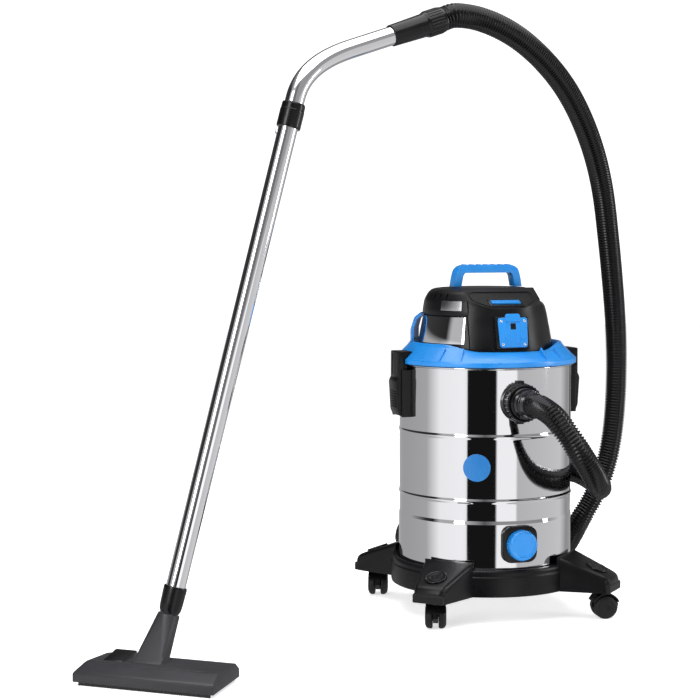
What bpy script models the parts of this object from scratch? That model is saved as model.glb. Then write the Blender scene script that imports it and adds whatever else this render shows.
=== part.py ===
"""Wet and dry shop vacuum: drum on a dolly base, motor head, hose, wand and floor nozzle.

Everything is laid out round the drum's upright axis, front towards -Y, and the finished assembly is then
shifted so that the origin lies under the middle of its box, on the floor.
"""
import bpy
import bmesh
from math import asin, atan2, cos, pi, radians, sin, sqrt, tan
from mathutils import Matrix, Vector

for old in list(bpy.data.objects):
    bpy.data.objects.remove(old, do_unlink=True)

# ---------------------------------------------------------------- driving dimensions, metres
GAP = 0.0003                      # clearance between neighbours that touch
FINE = 40                         # facets round the drum
ROUND = 20                        # facets round middling pieces
SMALL = 10                        # facets round small pieces

WHEEL_R = 0.0232
WHEEL_W = 0.0140
WHEEL_GAP = 0.0110                # space between the two wheels of a caster
CASTER_TRAIL = 0.014
STEM_R = 0.005

DRUM_R = 0.165
DRUM_WALL = 0.0012
DRUM_H = 0.4125
BASE_Z = 2 * WHEEL_R + 0.0076     # underside of the dolly base, clear of the wheels
DRUM_FLOOR_Z = BASE_Z + 0.012
DRUM_TOP_Z = DRUM_FLOOR_Z + DRUM_H
BEAD_UP_Z = DRUM_TOP_Z - 0.1285
BEAD_LOW_Z = DRUM_FLOOR_Z + 0.164
BEAD_H = 0.0018
STEP_Z = DRUM_FLOOR_Z + 0.124
STEP_OUT = 0.0010                 # how far the lower part of the drum stands out

BASE_TOP_Z = BASE_Z + 0.050
BASE_R = DRUM_R + 0.0162
FOOT_R = BASE_R + 0.0843          # reach of a foot from the drum axis
FOOT_W = 0.100                    # width of a foot at its root
FOOT_TOP_Z = BASE_Z + 0.064
FOOT_TIP_Z = BASE_Z + 0.028
CASTER_R = FOOT_R - 0.0351        # swivel axes from the drum axis
CAP_R = 0.0215

INLET_Z = DRUM_TOP_Z - 0.0635
DRAIN_Z = DRUM_FLOOR_Z + 0.085
LID_Z = DRUM_TOP_Z + 0.001        # underside of the lid ring's rim
RIM_R = DRUM_R + 0.009
DECK_Z = DRUM_TOP_Z + 0.0255      # top of the deck that the head stands on
HEAD_R = 0.1285
HEAD_TOP_Z = DECK_Z + 0.1195
HEAD_WALL = 0.003

LATCH_W = 0.044
LATCH_X = DRUM_R + 0.0115                  # latch pivot from the drum axis
LATCH_Z = DRUM_TOP_Z - 0.0932
PIN_R = 0.002

HOSE_R = 0.02175
TUBE_R = 0.0165
TUBE_WALL = 0.0012
NOZZLE_W = 0.250
NOZZLE_D = 0.125
NOZZLE_H = 0.0335
NOZZLE_Z = 0.006                  # underside of the nozzle above the floor
NOZZLE_AT = Vector((-0.727, -0.385, 0.0))
NOZZLE_TURN = radians(-38.4)


# ---------------------------------------------------------------- tools
def material(name, colour, roughness, metallic=0.0):
    mat = bpy.data.materials.new(name)
    mat.use_nodes = True
    shader = mat.node_tree.nodes["Principled BSDF"]
    shader.inputs["Base Color"].default_value = (*colour, 1.0)
    shader.inputs["Roughness"].default_value = roughness
    shader.inputs["Metallic"].default_value = metallic
    return mat


STEEL = material("mirror_steel", (0.62, 0.62, 0.63), 0.08, 1.0)
CHROME = material("chrome", (0.75, 0.75, 0.76), 0.05, 1.0)
BLUE = material("blue_plastic", (0.03, 0.38, 0.87), 0.35)
BLACK = material("black_plastic", (0.018, 0.018, 0.020), 0.45)
RUBBER = material("black_rubber", (0.015, 0.015, 0.015), 0.75)
PAPER = material("filter_paper", (0.75, 0.72, 0.62), 0.9)
ZINC = material("zinc_steel", (0.55, 0.55, 0.56), 0.35, 1.0)
BRISTLE = material("bristle", (0.02, 0.02, 0.02), 0.9)

ORIGIN = bpy.data.objects.new("assembly", None)
bpy.context.scene.collection.objects.link(ORIGIN)


def node(name, bm, mat, pivot=(0, 0, 0), cutter=False, smooth=35):
    """Makes an object of a finished bmesh, with its origin at the pivot."""
    bmesh.ops.remove_doubles(bm, verts=bm.verts, dist=1e-6)
    bmesh.ops.recalc_face_normals(bm, faces=bm.faces)
    bm.transform(Matrix.Translation(-Vector(pivot)))
    mesh = bpy.data.meshes.new(name)
    bm.to_mesh(mesh)
    bm.free()
    mesh.materials.append(mat)
    mesh.shade_smooth()
    mesh.set_sharp_from_angle(angle=radians(smooth))
    obj = bpy.data.objects.new(name, mesh)
    bpy.context.scene.collection.objects.link(obj)
    obj.location = pivot
    obj.parent = ORIGIN
    if cutter:
        obj.hide_render = True
        obj.display_type = "WIRE"
    return obj


def boolean(obj, operation, bm):
    """Cuts, fuses or intersects an object with a hidden tool shape."""
    tool = node(obj.name + "_tool", bm, BLACK, cutter=True)
    mod = obj.modifiers.new(operation.lower(), "BOOLEAN")
    mod.operation = operation
    mod.solver = "EXACT"
    mod.object = tool


def cut(obj, bm):
    boolean(obj, "DIFFERENCE", bm)


def fuse(obj, bm):
    boolean(obj, "UNION", bm)


def lathe(outline, steps, place=None):
    """Turns an outline of (radius, height) points round Z. It is closed, or it ends on the axis."""
    bm = bmesh.new()
    verts = [bm.verts.new((r, 0.0, z)) for r, z in outline]
    edges = [bm.edges.new(pair) for pair in zip(verts, verts[1:])]
    if outline[0][0] > 1e-7:
        edges.append(bm.edges.new((verts[-1], verts[0])))
    bmesh.ops.spin(bm, geom=verts + edges, axis=(0, 0, 1), cent=(0, 0, 0), angle=2 * pi,
                   steps=steps, use_merge=True)
    bmesh.ops.remove_doubles(bm, verts=bm.verts, dist=1e-6)
    loose = [e for e in bm.edges if not e.link_faces]
    bmesh.ops.delete(bm, geom=loose, context="EDGES")
    if place:
        bm.transform(place)
    return bm


def sector(outline, start, end, steps):
    """Turns a closed outline through part of a circle; angles run from the front towards -X."""
    bm = bmesh.new()
    face = bm.faces.new([bm.verts.new((-r * sin(start), -r * cos(start), z)) for r, z in outline])
    bmesh.ops.spin(bm, geom=[face], axis=(0, 0, 1), cent=(0, 0, 0), angle=start - end, steps=steps)
    return bm


def prism(outline, low, high, place=None, bevel=0.0):
    """Extrudes an outline in XY from low to high."""
    bm = bmesh.new()
    face = bm.faces.new([bm.verts.new((a, b, low)) for a, b in outline])
    grown = bmesh.ops.extrude_face_region(bm, geom=[face])
    top = [v for v in grown["geom"] if isinstance(v, bmesh.types.BMVert)]
    bmesh.ops.translate(bm, verts=top, vec=(0, 0, high - low))
    bmesh.ops.recalc_face_normals(bm, faces=bm.faces)
    if bevel:
        bmesh.ops.bevel(bm, geom=list(bm.edges), offset=bevel, segments=1, affect="EDGES",
                        profile=0.5, material=-1)
    if place:
        bm.transform(place)
    return bm


def block(low, high, bevel=0.0, place=None):
    (x0, y0, z0), (x1, y1, z1) = low, high
    return prism([(x0, y0), (x1, y0), (x1, y1), (x0, y1)], z0, z1, place, bevel)


def tube(path, outer, inner, sides):
    """A hollow tube along a path of points, with open ends."""
    bm = bmesh.new()
    side = None
    rings = []
    for i, point in enumerate(path):
        ahead = path[min(i + 1, len(path) - 1)] - path[max(i - 1, 0)]
        ahead.normalize()
        side = ahead.orthogonal() if side is None else side - ahead * side.dot(ahead)
        side.normalize()
        up = ahead.cross(side)
        for radius in (outer, inner):
            turn = [2 * pi * k / sides for k in range(sides)]
            rings.append([bm.verts.new(point + (side * cos(t) + up * sin(t)) * radius) for t in turn])
    pairs = []
    for i in range(len(path) - 1):
        pairs += [(rings[2 * i], rings[2 * i + 2]), (rings[2 * i + 1], rings[2 * i + 3])]
    pairs += [(rings[0], rings[1]), (rings[-2], rings[-1])]
    for a, b in pairs:
        for k in range(sides):
            j = (k + 1) % sides
            bm.faces.new((a[k], a[j], b[j], b[k]))
    return bm


def rounded(half_x, half_y, corner, steps=3):
    """A rectangle with round corners, as (x, y) points."""
    points = []
    for k, (sx, sy) in enumerate(((1, 1), (-1, 1), (-1, -1), (1, -1))):
        for i in range(steps + 1):
            a = pi / 2 * (k + i / steps)
            points.append((sx * (half_x - corner) + corner * cos(a),
                           sy * (half_y - corner) + corner * sin(a)))
    return points


def aim(point, direction, spin_ref=(0, 0, 1)):
    """Puts the local origin at a point with local Z along a direction and local Y near spin_ref."""
    z = Vector(direction).normalized()
    x = Vector(spin_ref).cross(z)
    x = x.normalized() if x.length > 1e-6 else Vector((1, 0, 0))
    y = z.cross(x)
    return Matrix.Translation(point) @ Matrix((x, y, z)).transposed().to_4x4()


def round_bore(radius, steps):
    """Radius of a faceted bore that a faceted shaft of this radius turns in with the usual clearance."""
    return (radius + GAP) / cos(pi / steps)


SIDE_VIEW = Matrix(((0, 0, 1, 0), (1, 0, 0, 0), (0, 1, 0, 0), (0, 0, 0, 1)))    # (y, z) outline along X
FRONT_VIEW = Matrix(((1, 0, 0, 0), (0, 0, -1, 0), (0, 1, 0, 0), (0, 0, 0, 1)))  # (x, z) outline along -Y


def about_z(angle):
    return Matrix.Rotation(angle, 4, "Z")


# ---------------------------------------------------------------- dolly base and casters
SEAT_R = DRUM_R + STEP_OUT + 0.0012               # the drum stands in this bore
SHELF_Z = DRUM_FLOOR_Z - GAP
FOOT_PLANE_IN = SEAT_R + 0.005                    # the foot's sloping top runs between these radii
FOOT_PLANE_OUT = FOOT_R - 0.0075
FOOT_SLOPE = atan2(FOOT_TOP_Z - FOOT_TIP_Z - 0.004, FOOT_PLANE_OUT - FOOT_PLANE_IN)
CASTER_ANGLES = {"front_left": radians(225), "front_right": radians(-45),
                 "rear_left": radians(135), "rear_right": radians(45)}
CASTER_HEADING = {"front_left": radians(-112), "front_right": radians(172),
                  "rear_left": radians(-112), "rear_right": radians(60)}


def foot_top(radius):
    """Height of a foot's sloping top at a distance from the drum axis."""
    return FOOT_TOP_Z - tan(FOOT_SLOPE) * (radius - FOOT_PLANE_IN)


def dolly_base():
    ring = [(BASE_R - 0.0012, BASE_Z), (BASE_R, BASE_Z + 0.006), (BASE_R, BASE_TOP_Z - 0.006),
            (BASE_R - 0.0035, BASE_TOP_Z), (SEAT_R, BASE_TOP_Z), (SEAT_R, SHELF_Z),
            (DRUM_R - 0.035, SHELF_Z), (DRUM_R - 0.035, SHELF_Z - 0.0045), (SEAT_R - 0.001, SHELF_Z - 0.0045),
            (SEAT_R - 0.001, BASE_Z)]
    base = node("dolly_base", lathe(ring, FINE), BLACK)
    side = [(SEAT_R + 0.0006, BASE_Z), (FOOT_R - 0.0035, BASE_Z), (FOOT_R, BASE_Z + 0.004),
            (FOOT_R, FOOT_TIP_Z - 0.004), (FOOT_PLANE_OUT, foot_top(FOOT_PLANE_OUT)),
            (FOOT_PLANE_IN, FOOT_TOP_Z), (SEAT_R + 0.0006, FOOT_TOP_Z)]
    for name, angle in CASTER_ANGLES.items():
        foot = prism(side, -FOOT_W / 2, FOOT_W / 2, FRONT_VIEW)
        for v in foot.verts:
            v.co.y *= 1.0 - 0.28 * (v.co.x - SEAT_R) / (FOOT_R - SEAT_R)
        soft = [e for e in foot.edges if all(v.co.x > SEAT_R + 0.003 for v in e.verts)
                and abs(sum(v.co.y for v in e.verts)) > 0.02 and min(v.co.z for v in e.verts) > BASE_Z + 0.001]
        bmesh.ops.bevel(foot, geom=soft, offset=0.007, segments=2, affect="EDGES", profile=0.5, material=-1)
        foot.transform(about_z(angle))
        fuse(base, foot)
    for angle in CASTER_ANGLES.values():
        hole = lathe([(0, BASE_Z - 0.01), (STEM_R + GAP, BASE_Z - 0.01), (STEM_R + GAP, BASE_Z + 0.0225),
                      (0, BASE_Z + 0.0225)], SMALL)
        hole.transform(Matrix.Translation((CASTER_R * cos(angle), CASTER_R * sin(angle), 0)))
        cut(base, hole)


def foot_cap(name, angle):
    disc = lathe([(0, GAP), (CAP_R, GAP), (CAP_R, 0.0022), (CAP_R - 0.0015, 0.0034), (CAP_R - 0.006, 0.0034),
                  (CAP_R - 0.0065, 0.0028), (0, 0.0028)], ROUND)
    tilt = Matrix.Rotation(FOOT_SLOPE, 4, "Y")
    disc.transform(about_z(angle) @ Matrix.Translation((CASTER_R, 0, foot_top(CASTER_R))) @ tilt)
    node("foot_cap_" + name, disc, BLACK)


def caster(name, angle):
    at = Vector((CASTER_R * cos(angle), CASTER_R * sin(angle), 0))
    heading = about_z(CASTER_HEADING[name])
    place = Matrix.Translation(at) @ heading
    axle_x = -CASTER_TRAIL
    stem = lathe([(0, BASE_Z - 0.006), (0.0085, BASE_Z - 0.006), (0.0110, BASE_Z - 0.0025),
                  (0.0110, BASE_Z - 0.0008), (STEM_R, BASE_Z - 0.0008), (STEM_R, BASE_Z + 0.0215),
                  (0, BASE_Z + 0.0215)], SMALL, place)
    housing = node("caster_housing_" + name, stem, BLACK, pivot=at)
    hood_r = WHEEL_R + 0.0035
    web = [(axle_x + hood_r * cos(a), WHEEL_R + hood_r * sin(a)) for a in [pi * k / 8 for k in range(9)]]
    web += [(axle_x - 0.012, WHEEL_R - 0.012), (axle_x + 0.012, WHEEL_R - 0.012)]
    half_web = WHEEL_GAP / 2 - 0.0008
    fuse(housing, prism(web, -half_web, half_web, place @ FRONT_VIEW))
    arc = [radians(22 + 136 * k / 8) for k in range(9)]
    fender = [(axle_x + hood_r * cos(a), WHEEL_R + hood_r * sin(a)) for a in arc]
    fender += [(axle_x + (WHEEL_R + 0.0012) * cos(a),
                WHEEL_R + (WHEEL_R + 0.0012) * sin(a)) for a in reversed(arc)]
    half_fender = WHEEL_GAP / 2 + WHEEL_W - 0.001
    fuse(housing, prism(fender, -half_fender, half_fender, place @ FRONT_VIEW))
    lift = prism([(-0.008, BASE_Z - 0.014), (0.006, BASE_Z - 0.014), (0.006, BASE_Z - 0.003),
                  (-0.008, BASE_Z - 0.003)], -half_web + 0.0004, half_web - 0.0004, place @ FRONT_VIEW)
    fuse(housing, lift)
    axle_r = 0.0025
    bore = lathe([(0, -0.02), (axle_r + GAP, -0.02), (axle_r + GAP, 0.02), (0, 0.02)], SMALL)
    bore.transform(place @ Matrix.Translation((axle_x, 0, WHEEL_R)) @ Matrix.Rotation(pi / 2, 4, "X"))
    cut(housing, bore)
    inner, outer = WHEEL_GAP / 2, WHEEL_GAP / 2 + WHEEL_W
    half = [(0, -outer), (WHEEL_R - 0.006, -outer), (WHEEL_R - 0.002, -outer + 0.001),
            (WHEEL_R, -outer + 0.003),
            (WHEEL_R, -inner - 0.002), (WHEEL_R - 0.002, -inner), (axle_r, -inner)]
    pair = half + [(r, -z) for r, z in reversed(half)]
    wheels = lathe(pair, 18)
    hub = place @ Matrix.Translation((axle_x, 0, WHEEL_R))
    wheels.transform(hub @ Matrix.Rotation(pi / 2, 4, "X"))
    node("caster_wheels_" + name, wheels, BLACK, pivot=hub.to_translation())


# ---------------------------------------------------------------- drum and what is fixed to it
def drum():
    out, inside = DRUM_R, DRUM_R - DRUM_WALL
    low = DRUM_R + STEP_OUT
    outline = [(0, DRUM_FLOOR_Z), (out - 0.015, DRUM_FLOOR_Z), (low, DRUM_FLOOR_Z + 0.012),
               (low, STEP_Z - 0.003),
               (out - 0.0005, STEP_Z + 0.004), (out - 0.0005, BEAD_LOW_Z - 0.005), (out + BEAD_H, BEAD_LOW_Z),
               (out, BEAD_LOW_Z + 0.005), (out, BEAD_UP_Z - 0.004), (out + BEAD_H, BEAD_UP_Z),
               (out, BEAD_UP_Z + 0.004), (out, DRUM_TOP_Z - 0.004), (out + 0.0035, DRUM_TOP_Z - 0.004),
               (out + 0.0035, DRUM_TOP_Z), (inside, DRUM_TOP_Z), (inside, DRUM_FLOOR_Z + 0.013),
               (out - 0.016, DRUM_FLOOR_Z + DRUM_WALL), (0, DRUM_FLOOR_Z + DRUM_WALL)]
    shell = node("drum", lathe(outline, FINE), STEEL)
    cut(shell,
        lathe([(0, -0.03), (DEFLECTOR_R + GAP, -0.03), (DEFLECTOR_R + GAP, 0.03), (0, 0.03)], ROUND, INLET))
    cut(shell, lathe([(0, -0.03), (SPIGOT_R + GAP, -0.03), (SPIGOT_R + GAP, 0.03), (0, 0.03)], ROUND, DRAIN))


def drum_clearance(low, high, radius=None):
    """An upright cylinder that trims whatever rests on the drum's outside."""
    r = radius or DRUM_R + STEP_OUT + GAP
    return lathe([(0, low), (r, low), (r, high), (0, high)], 96)


INLET = aim((0, -DRUM_R, INLET_Z), (0, -1, 0))
DRAIN = aim((0, -DRUM_R, DRAIN_Z), (0, -1, 0))
DEFLECTOR_R = 0.0259              # the inlet's bore in the drum goes with this
NECK_R = DEFLECTOR_R + 0.0051
FLANGE_R = NECK_R + 0.0055
CONNECTOR_END = 0.0725 - GAP
CONNECTOR_BORE = 0.0195


def inlet_flange():
    ring = [(DEFLECTOR_R + GAP, -0.008), (FLANGE_R, -0.008), (FLANGE_R, 0.0095), (FLANGE_R - 0.002, 0.0115),
            (NECK_R, 0.0115), (NECK_R, 0.0205), (DEFLECTOR_R + GAP, 0.0205)]
    flange = node("inlet_flange", lathe(ring, ROUND, INLET), BLACK)
    tab = block((-0.006, FLANGE_R - 0.0065, -0.008), (0.006, FLANGE_R + 0.004, 0.006), place=INLET)
    fuse(flange, tab)
    fuse(flange, block((-0.006, -FLANGE_R - 0.004, -0.008), (0.006, -FLANGE_R + 0.0065, 0.006), place=INLET))
    cut(flange, drum_clearance(INLET_Z - 0.06, INLET_Z + 0.06, DRUM_R + GAP))


def inlet_deflector():
    plate_r = DEFLECTOR_R + 0.0101
    inside = DRUM_R - sqrt((DRUM_R - DRUM_WALL) ** 2 - plate_r ** 2) + 0.0008
    pipe = [(DEFLECTOR_R - 0.0031, -0.045), (DEFLECTOR_R, -0.045), (DEFLECTOR_R, -inside - 0.004),
            (plate_r, -inside - 0.004),
            (plate_r, -inside), (DEFLECTOR_R, -inside), (DEFLECTOR_R, 0.018), (DEFLECTOR_R - 0.0031, 0.018)]
    node("inlet_deflector", lathe(pipe, ROUND, INLET), BLACK)


def hose_connector():
    pipe = [(CONNECTOR_BORE, -0.018), (DEFLECTOR_R - 0.0037, -0.018), (DEFLECTOR_R - 0.0037, 0.0208),
            (NECK_R - 0.001, 0.0208), (NECK_R - 0.001, 0.0300),
            (0.0268, 0.0335), (0.0262, 0.0490), (0.0240, 0.0515), (0.0236, 0.0700), (0.0228, CONNECTOR_END),
            (CONNECTOR_BORE, CONNECTOR_END)]
    node("hose_connector", lathe(pipe, ROUND, INLET), BLACK)


def lock_ring():
    bore = round_bore(NECK_R, ROUND)
    ring = [(bore, 0.0119), (NECK_R + 0.0038, 0.0119), (NECK_R + 0.0045, 0.0130), (NECK_R + 0.0045, 0.0265),
            (NECK_R + 0.0035, 0.0280), (bore, 0.0280)]
    node("hose_lock_ring", lathe(ring, ROUND, INLET), BLACK, pivot=(0, -DRUM_R - 0.02, INLET_Z))


SPIGOT_R = 0.0185
PLATE_HALF = 0.0345
PLATE_OUT = 0.0085                 # the plate's flat face stands this far off the drum
CAP_OUT_R = 0.0285
CAP_DEEP = 0.020


def drain_parts():
    plate = prism(rounded(PLATE_HALF, PLATE_HALF, 0.010), -0.010, PLATE_OUT, DRAIN)
    body = node("drain_plate", plate, BLACK)
    spigot = lathe([(SPIGOT_R - 0.003, -0.018), (SPIGOT_R, -0.018), (SPIGOT_R, PLATE_OUT + 0.012),
                    (SPIGOT_R - 0.003, PLATE_OUT + 0.012)], ROUND, DRAIN)
    outside = DRUM_R + STEP_OUT + GAP
    cut(body, drum_clearance(DRAIN_Z - 0.06, DRAIN_Z + 0.06, outside))
    fuse(body, spigot)
    cut(body,
        lathe([(0, -0.03), (SPIGOT_R - 0.003, -0.03), (SPIGOT_R - 0.003, 0.03), (0, 0.03)], ROUND, DRAIN))
    seal_at = PLATE_OUT + 0.0125
    seal = lathe([(SPIGOT_R - 0.0055, seal_at), (SPIGOT_R, seal_at), (SPIGOT_R, seal_at + 0.002),
                  (SPIGOT_R - 0.0055, seal_at + 0.002)],
                 ROUND, DRAIN)
    node("drain_seal", seal, RUBBER, pivot=(0, -DRUM_R - seal_at, DRAIN_Z))
    top = seal_at + 0.002 + GAP
    shell = [(0, top), (SPIGOT_R + 0.0006, top), (SPIGOT_R + 0.0006, PLATE_OUT + 0.0006),
             (CAP_OUT_R, PLATE_OUT + 0.0006), (CAP_OUT_R, top + 0.002), (CAP_OUT_R - 0.003, top + 0.0045),
             (0, top + 0.0055)]
    node("drain_cap", lathe(shell, 32, DRAIN), BLUE, pivot=(0, -DRUM_R - PLATE_OUT, DRAIN_Z))


def latch(name, side):
    """Bracket, lever and pin at +X; the left-hand set is the same turned half round."""
    turn = about_z(0 if side > 0 else pi)
    half = LATCH_W / 2
    wall_in, wall_out = half + 0.0008, half + 0.0060
    low, high = LATCH_Z - 0.0063, LID_Z - 0.0115
    channel = [(DRUM_R - 0.007, -wall_out), (LATCH_X + 0.004, -wall_out), (LATCH_X + 0.004, -wall_in),
               (LATCH_X - 0.0065, -wall_in),
               (LATCH_X - 0.0065, wall_in), (LATCH_X + 0.004, wall_in), (LATCH_X + 0.004, wall_out),
               (DRUM_R - 0.007, wall_out)]
    bracket = node("latch_bracket_" + name, prism(channel, low, high, turn), BLACK)
    cut(bracket, drum_clearance(low - 0.02, high + 0.02, DRUM_R + GAP))
    hole = lathe([(0, -0.05), (PIN_R + GAP, -0.05), (PIN_R + GAP, 0.05), (0, 0.05)], SMALL)
    across = turn @ Matrix.Translation((LATCH_X, 0, LATCH_Z)) @ Matrix.Rotation(pi / 2, 4, "X")
    hole.transform(across)
    cut(bracket, hole)
    outline = [(LATCH_X - 0.0058, LATCH_Z), (LATCH_X - 0.0041, LATCH_Z - 0.0041), (LATCH_X, LATCH_Z - 0.0058),
               (LATCH_X + 0.0055, LATCH_Z - 0.0040), (LATCH_X + 0.010, LATCH_Z + 0.0067),
               (LATCH_X + 0.0133, LID_Z - 0.0325), (LATCH_X + 0.0093, LID_Z - 0.026),
               (LATCH_X + 0.009, LID_Z + 0.022), (LATCH_X + 0.0075, LID_Z + 0.0235),
               (CLAW_TIP_X, LID_Z + 0.0235), (CLAW_TIP_X, CLAW_TIP_Z),
               (CLAW_ROOT_X, CLAW_ROOT_Z), (CLAW_ROOT_X, LATCH_Z + 0.006)]
    lever = node("latch_lever_" + name, prism(outline, -half, half, turn @ FRONT_VIEW), BLACK,
                 pivot=turn @ Vector((LATCH_X, 0, LATCH_Z)))
    pin_hole = lathe([(0, -0.05), (PIN_R + GAP, -0.05), (PIN_R + GAP, 0.05), (0, 0.05)], SMALL, across)
    cut(lever, pin_hole)
    pin = lathe([(0, -wall_out + 0.0005), (PIN_R, -wall_out + 0.0005), (PIN_R, wall_out - 0.0005),
                 (0, wall_out - 0.0005)], SMALL, across)
    node("latch_pin_" + name, pin, ZINC)


CLAW_SLOPE = radians(61)
CLAW_TIP_X, CLAW_TIP_Z = RIM_R - 0.016, LID_Z + 0.0217
CLAW_ROOT_X = RIM_R - 0.0025
CLAW_ROOT_Z = CLAW_TIP_Z - tan(CLAW_SLOPE) * (CLAW_ROOT_X - CLAW_TIP_X)
CLAW_GAP = 0.0008


# ---------------------------------------------------------------- lid ring and what hangs under it
SEAL_IN, SEAL_OUT = DRUM_R - 0.0035, DRUM_R + 0.004
INTAKE_R = 0.046
LIP_Z = DECK_Z + 0.015             # top of the lip round the head


def lid_ring():
    skirt_in = DRUM_R - 0.009
    fall = (LIP_Z - 0.0055 - LID_Z - 0.0115) / (RIM_R - 0.003 - HEAD_R - 0.0195)      # of the sloping top
    under = min(DECK_Z - 0.004, LID_Z + 0.0075 + fall * (RIM_R - 0.003 - skirt_in))
    outline = [(RIM_R, LID_Z), (RIM_R, LID_Z + 0.009), (RIM_R - 0.003, LID_Z + 0.0115),
               (HEAD_R + 0.0195, LIP_Z - 0.0055),
               (HEAD_R + 0.0165, LIP_Z), (HEAD_R + 0.011, LIP_Z), (HEAD_R + 0.010, LIP_Z - 0.004),
               (HEAD_R + 0.009, DECK_Z), (INTAKE_R, DECK_Z),
               (INTAKE_R, DECK_Z - 0.004), (HEAD_R + 0.009, DECK_Z - 0.004), (skirt_in, under),
               (skirt_in, DRUM_TOP_Z - 0.0165), (DRUM_R - 0.005, DRUM_TOP_Z - 0.0165),
               (DRUM_R - 0.0045, DRUM_TOP_Z + 0.0055), (SEAL_OUT + GAP, DRUM_TOP_Z + 0.0055),
               (SEAL_OUT + GAP, LID_Z)]
    ring = lathe(outline, FINE)
    for v in ring.verts:
        r = sqrt(v.co.x ** 2 + v.co.y ** 2)
        if HEAD_R + 0.0096 < r < HEAD_R + 0.021 and v.co.z > LIP_Z - 0.009:
            off_front = abs(atan2(v.co.x, -v.co.y))
            ease = min(max((off_front - radians(26)) / radians(30), 0.0), 1.0)
            dip = 1.0 - ease * ease * (3 - 2 * ease)
            v.co.z -= dip * (v.co.z - DECK_Z - 0.0012) * 0.92
    lid = node("lid_ring", ring, BLUE)
    for turn in (0, pi):
        over = [(CLAW_TIP_X - 0.03, CLAW_TIP_Z + 0.03 * tan(CLAW_SLOPE)),
                (RIM_R + 0.026, CLAW_TIP_Z + 0.03 * tan(CLAW_SLOPE)),
                (RIM_R + 0.026, LID_Z - 0.0245), (CLAW_ROOT_X + 0.010, LID_Z - 0.0245)]
        shift = CLAW_GAP / sin(CLAW_SLOPE)
        drop = (CLAW_TIP_Z - LID_Z - 0.0245) / tan(CLAW_SLOPE)
        over[0] = (CLAW_TIP_X - 0.03 - shift, over[0][1])
        over[3] = (CLAW_TIP_X + drop - shift, LID_Z - 0.0245)
        room = LATCH_W / 2 + 0.001
        cut(lid, prism(over, -room, room, about_z(turn) @ FRONT_VIEW))


def lid_seal():
    ring = [(SEAL_IN, DRUM_TOP_Z + GAP), (SEAL_OUT - 0.0012, DRUM_TOP_Z + GAP),
            (SEAL_OUT - 0.0012, DRUM_TOP_Z + 0.0052),
            (SEAL_IN, DRUM_TOP_Z + 0.0052)]
    node("lid_seal", lathe(ring, FINE), RUBBER)


def cord_guard():
    wall = [(HEAD_R + 0.0115, LIP_Z + GAP), (HEAD_R + 0.016, LIP_Z + GAP),
            (HEAD_R + 0.016, DECK_Z + 0.038), (HEAD_R + 0.009, DECK_Z + 0.060),
            (HEAD_R - 0.003, DECK_Z + 0.0695),
            (HEAD_R - 0.0045, DECK_Z + 0.066), (HEAD_R + 0.006, DECK_Z + 0.057),
            (HEAD_R + 0.0115, DECK_Z + 0.0375)]
    node("cord_guard", sector(wall, radians(100), radians(134), 8), BLUE)


CAGE_TOP = DECK_Z - 0.004 - GAP
CAGE_R = 0.0430
CAGE_LOW = DECK_Z - 0.134
BALL_R = 0.0270


def filter_parts():
    cage = [(0, CAGE_LOW), (CAGE_R, CAGE_LOW), (CAGE_R, CAGE_TOP - 0.004), (CAGE_R + 0.013, CAGE_TOP - 0.004),
            (CAGE_R + 0.013, CAGE_TOP), (CAGE_R - 0.003, CAGE_TOP), (CAGE_R - 0.003, CAGE_LOW + 0.003),
            (0, CAGE_LOW + 0.003)]
    body = node("float_cage", lathe(cage, ROUND), BLACK)
    for k in range(3):
        window = block((-0.08, -0.012, CAGE_LOW + 0.018), (0.08, 0.012, CAGE_TOP - 0.024))
        window.transform(about_z(pi * k / 3))
        cut(body, window)
    ball_z = CAGE_LOW + 0.003 + GAP + BALL_R
    count = 6
    arc = [(BALL_R * sin(pi * k / count), ball_z - BALL_R * cos(pi * k / count)) for k in range(count + 1)]
    arc[0], arc[-1] = (0, arc[0][1]), (0, arc[-1][1])
    node("float_ball", lathe(arc, 16), BLUE, pivot=(0, 0, ball_z))
    sleeve = [(CAGE_R + 0.0012, DECK_Z - 0.124), (CAGE_R + 0.021, DECK_Z - 0.124),
              (CAGE_R + 0.021, DECK_Z - 0.014), (CAGE_R + 0.0012, DECK_Z - 0.014)]
    node("filter_cartridge", lathe(sleeve, 32), PAPER)


# ---------------------------------------------------------------- motor head
FAN_WALL = HEAD_R - 0.0645
INTAKE_HOLE_R = BALL_R - 0.0125            # the float ball closes this hole when it rises


def motor_parts():
    plate = [(INTAKE_HOLE_R, DECK_Z + GAP), (FAN_WALL + 0.018, DECK_Z + GAP), (FAN_WALL + 0.018, DECK_Z + 0.004),
             (FAN_WALL, DECK_Z + 0.004),
             (FAN_WALL, DECK_Z + 0.022), (FAN_WALL - 0.003, DECK_Z + 0.022),
             (FAN_WALL - 0.003, DECK_Z + 0.004),
             (INTAKE_HOLE_R, DECK_Z + 0.004)]
    node("motor_plate", lathe(plate, ROUND), BLACK)
    fan = [(0, DECK_Z + 0.0055), (FAN_WALL - 0.009, DECK_Z + 0.0055), (FAN_WALL - 0.009, DECK_Z + 0.0175),
           (0.0300, DECK_Z + 0.0195), (0.0040, DECK_Z + 0.0195), (0.0040, DECK_Z + 0.088),
           (0, DECK_Z + 0.088)]
    node("fan_and_shaft", lathe(fan, ROUND), ZINC)
    motor = [(0.0046, DECK_Z + 0.0223), (FAN_WALL - 0.001, DECK_Z + 0.0223),
             (FAN_WALL - 0.001, DECK_Z + 0.026), (FAN_WALL - 0.019, DECK_Z + 0.029),
             (FAN_WALL - 0.019, DECK_Z + 0.066), (0.0220, DECK_Z + 0.072), (0.0220, DECK_Z + 0.086),
             (0.0046, DECK_Z + 0.086)]
    node("motor", lathe(motor, ROUND), ZINC)


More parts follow.
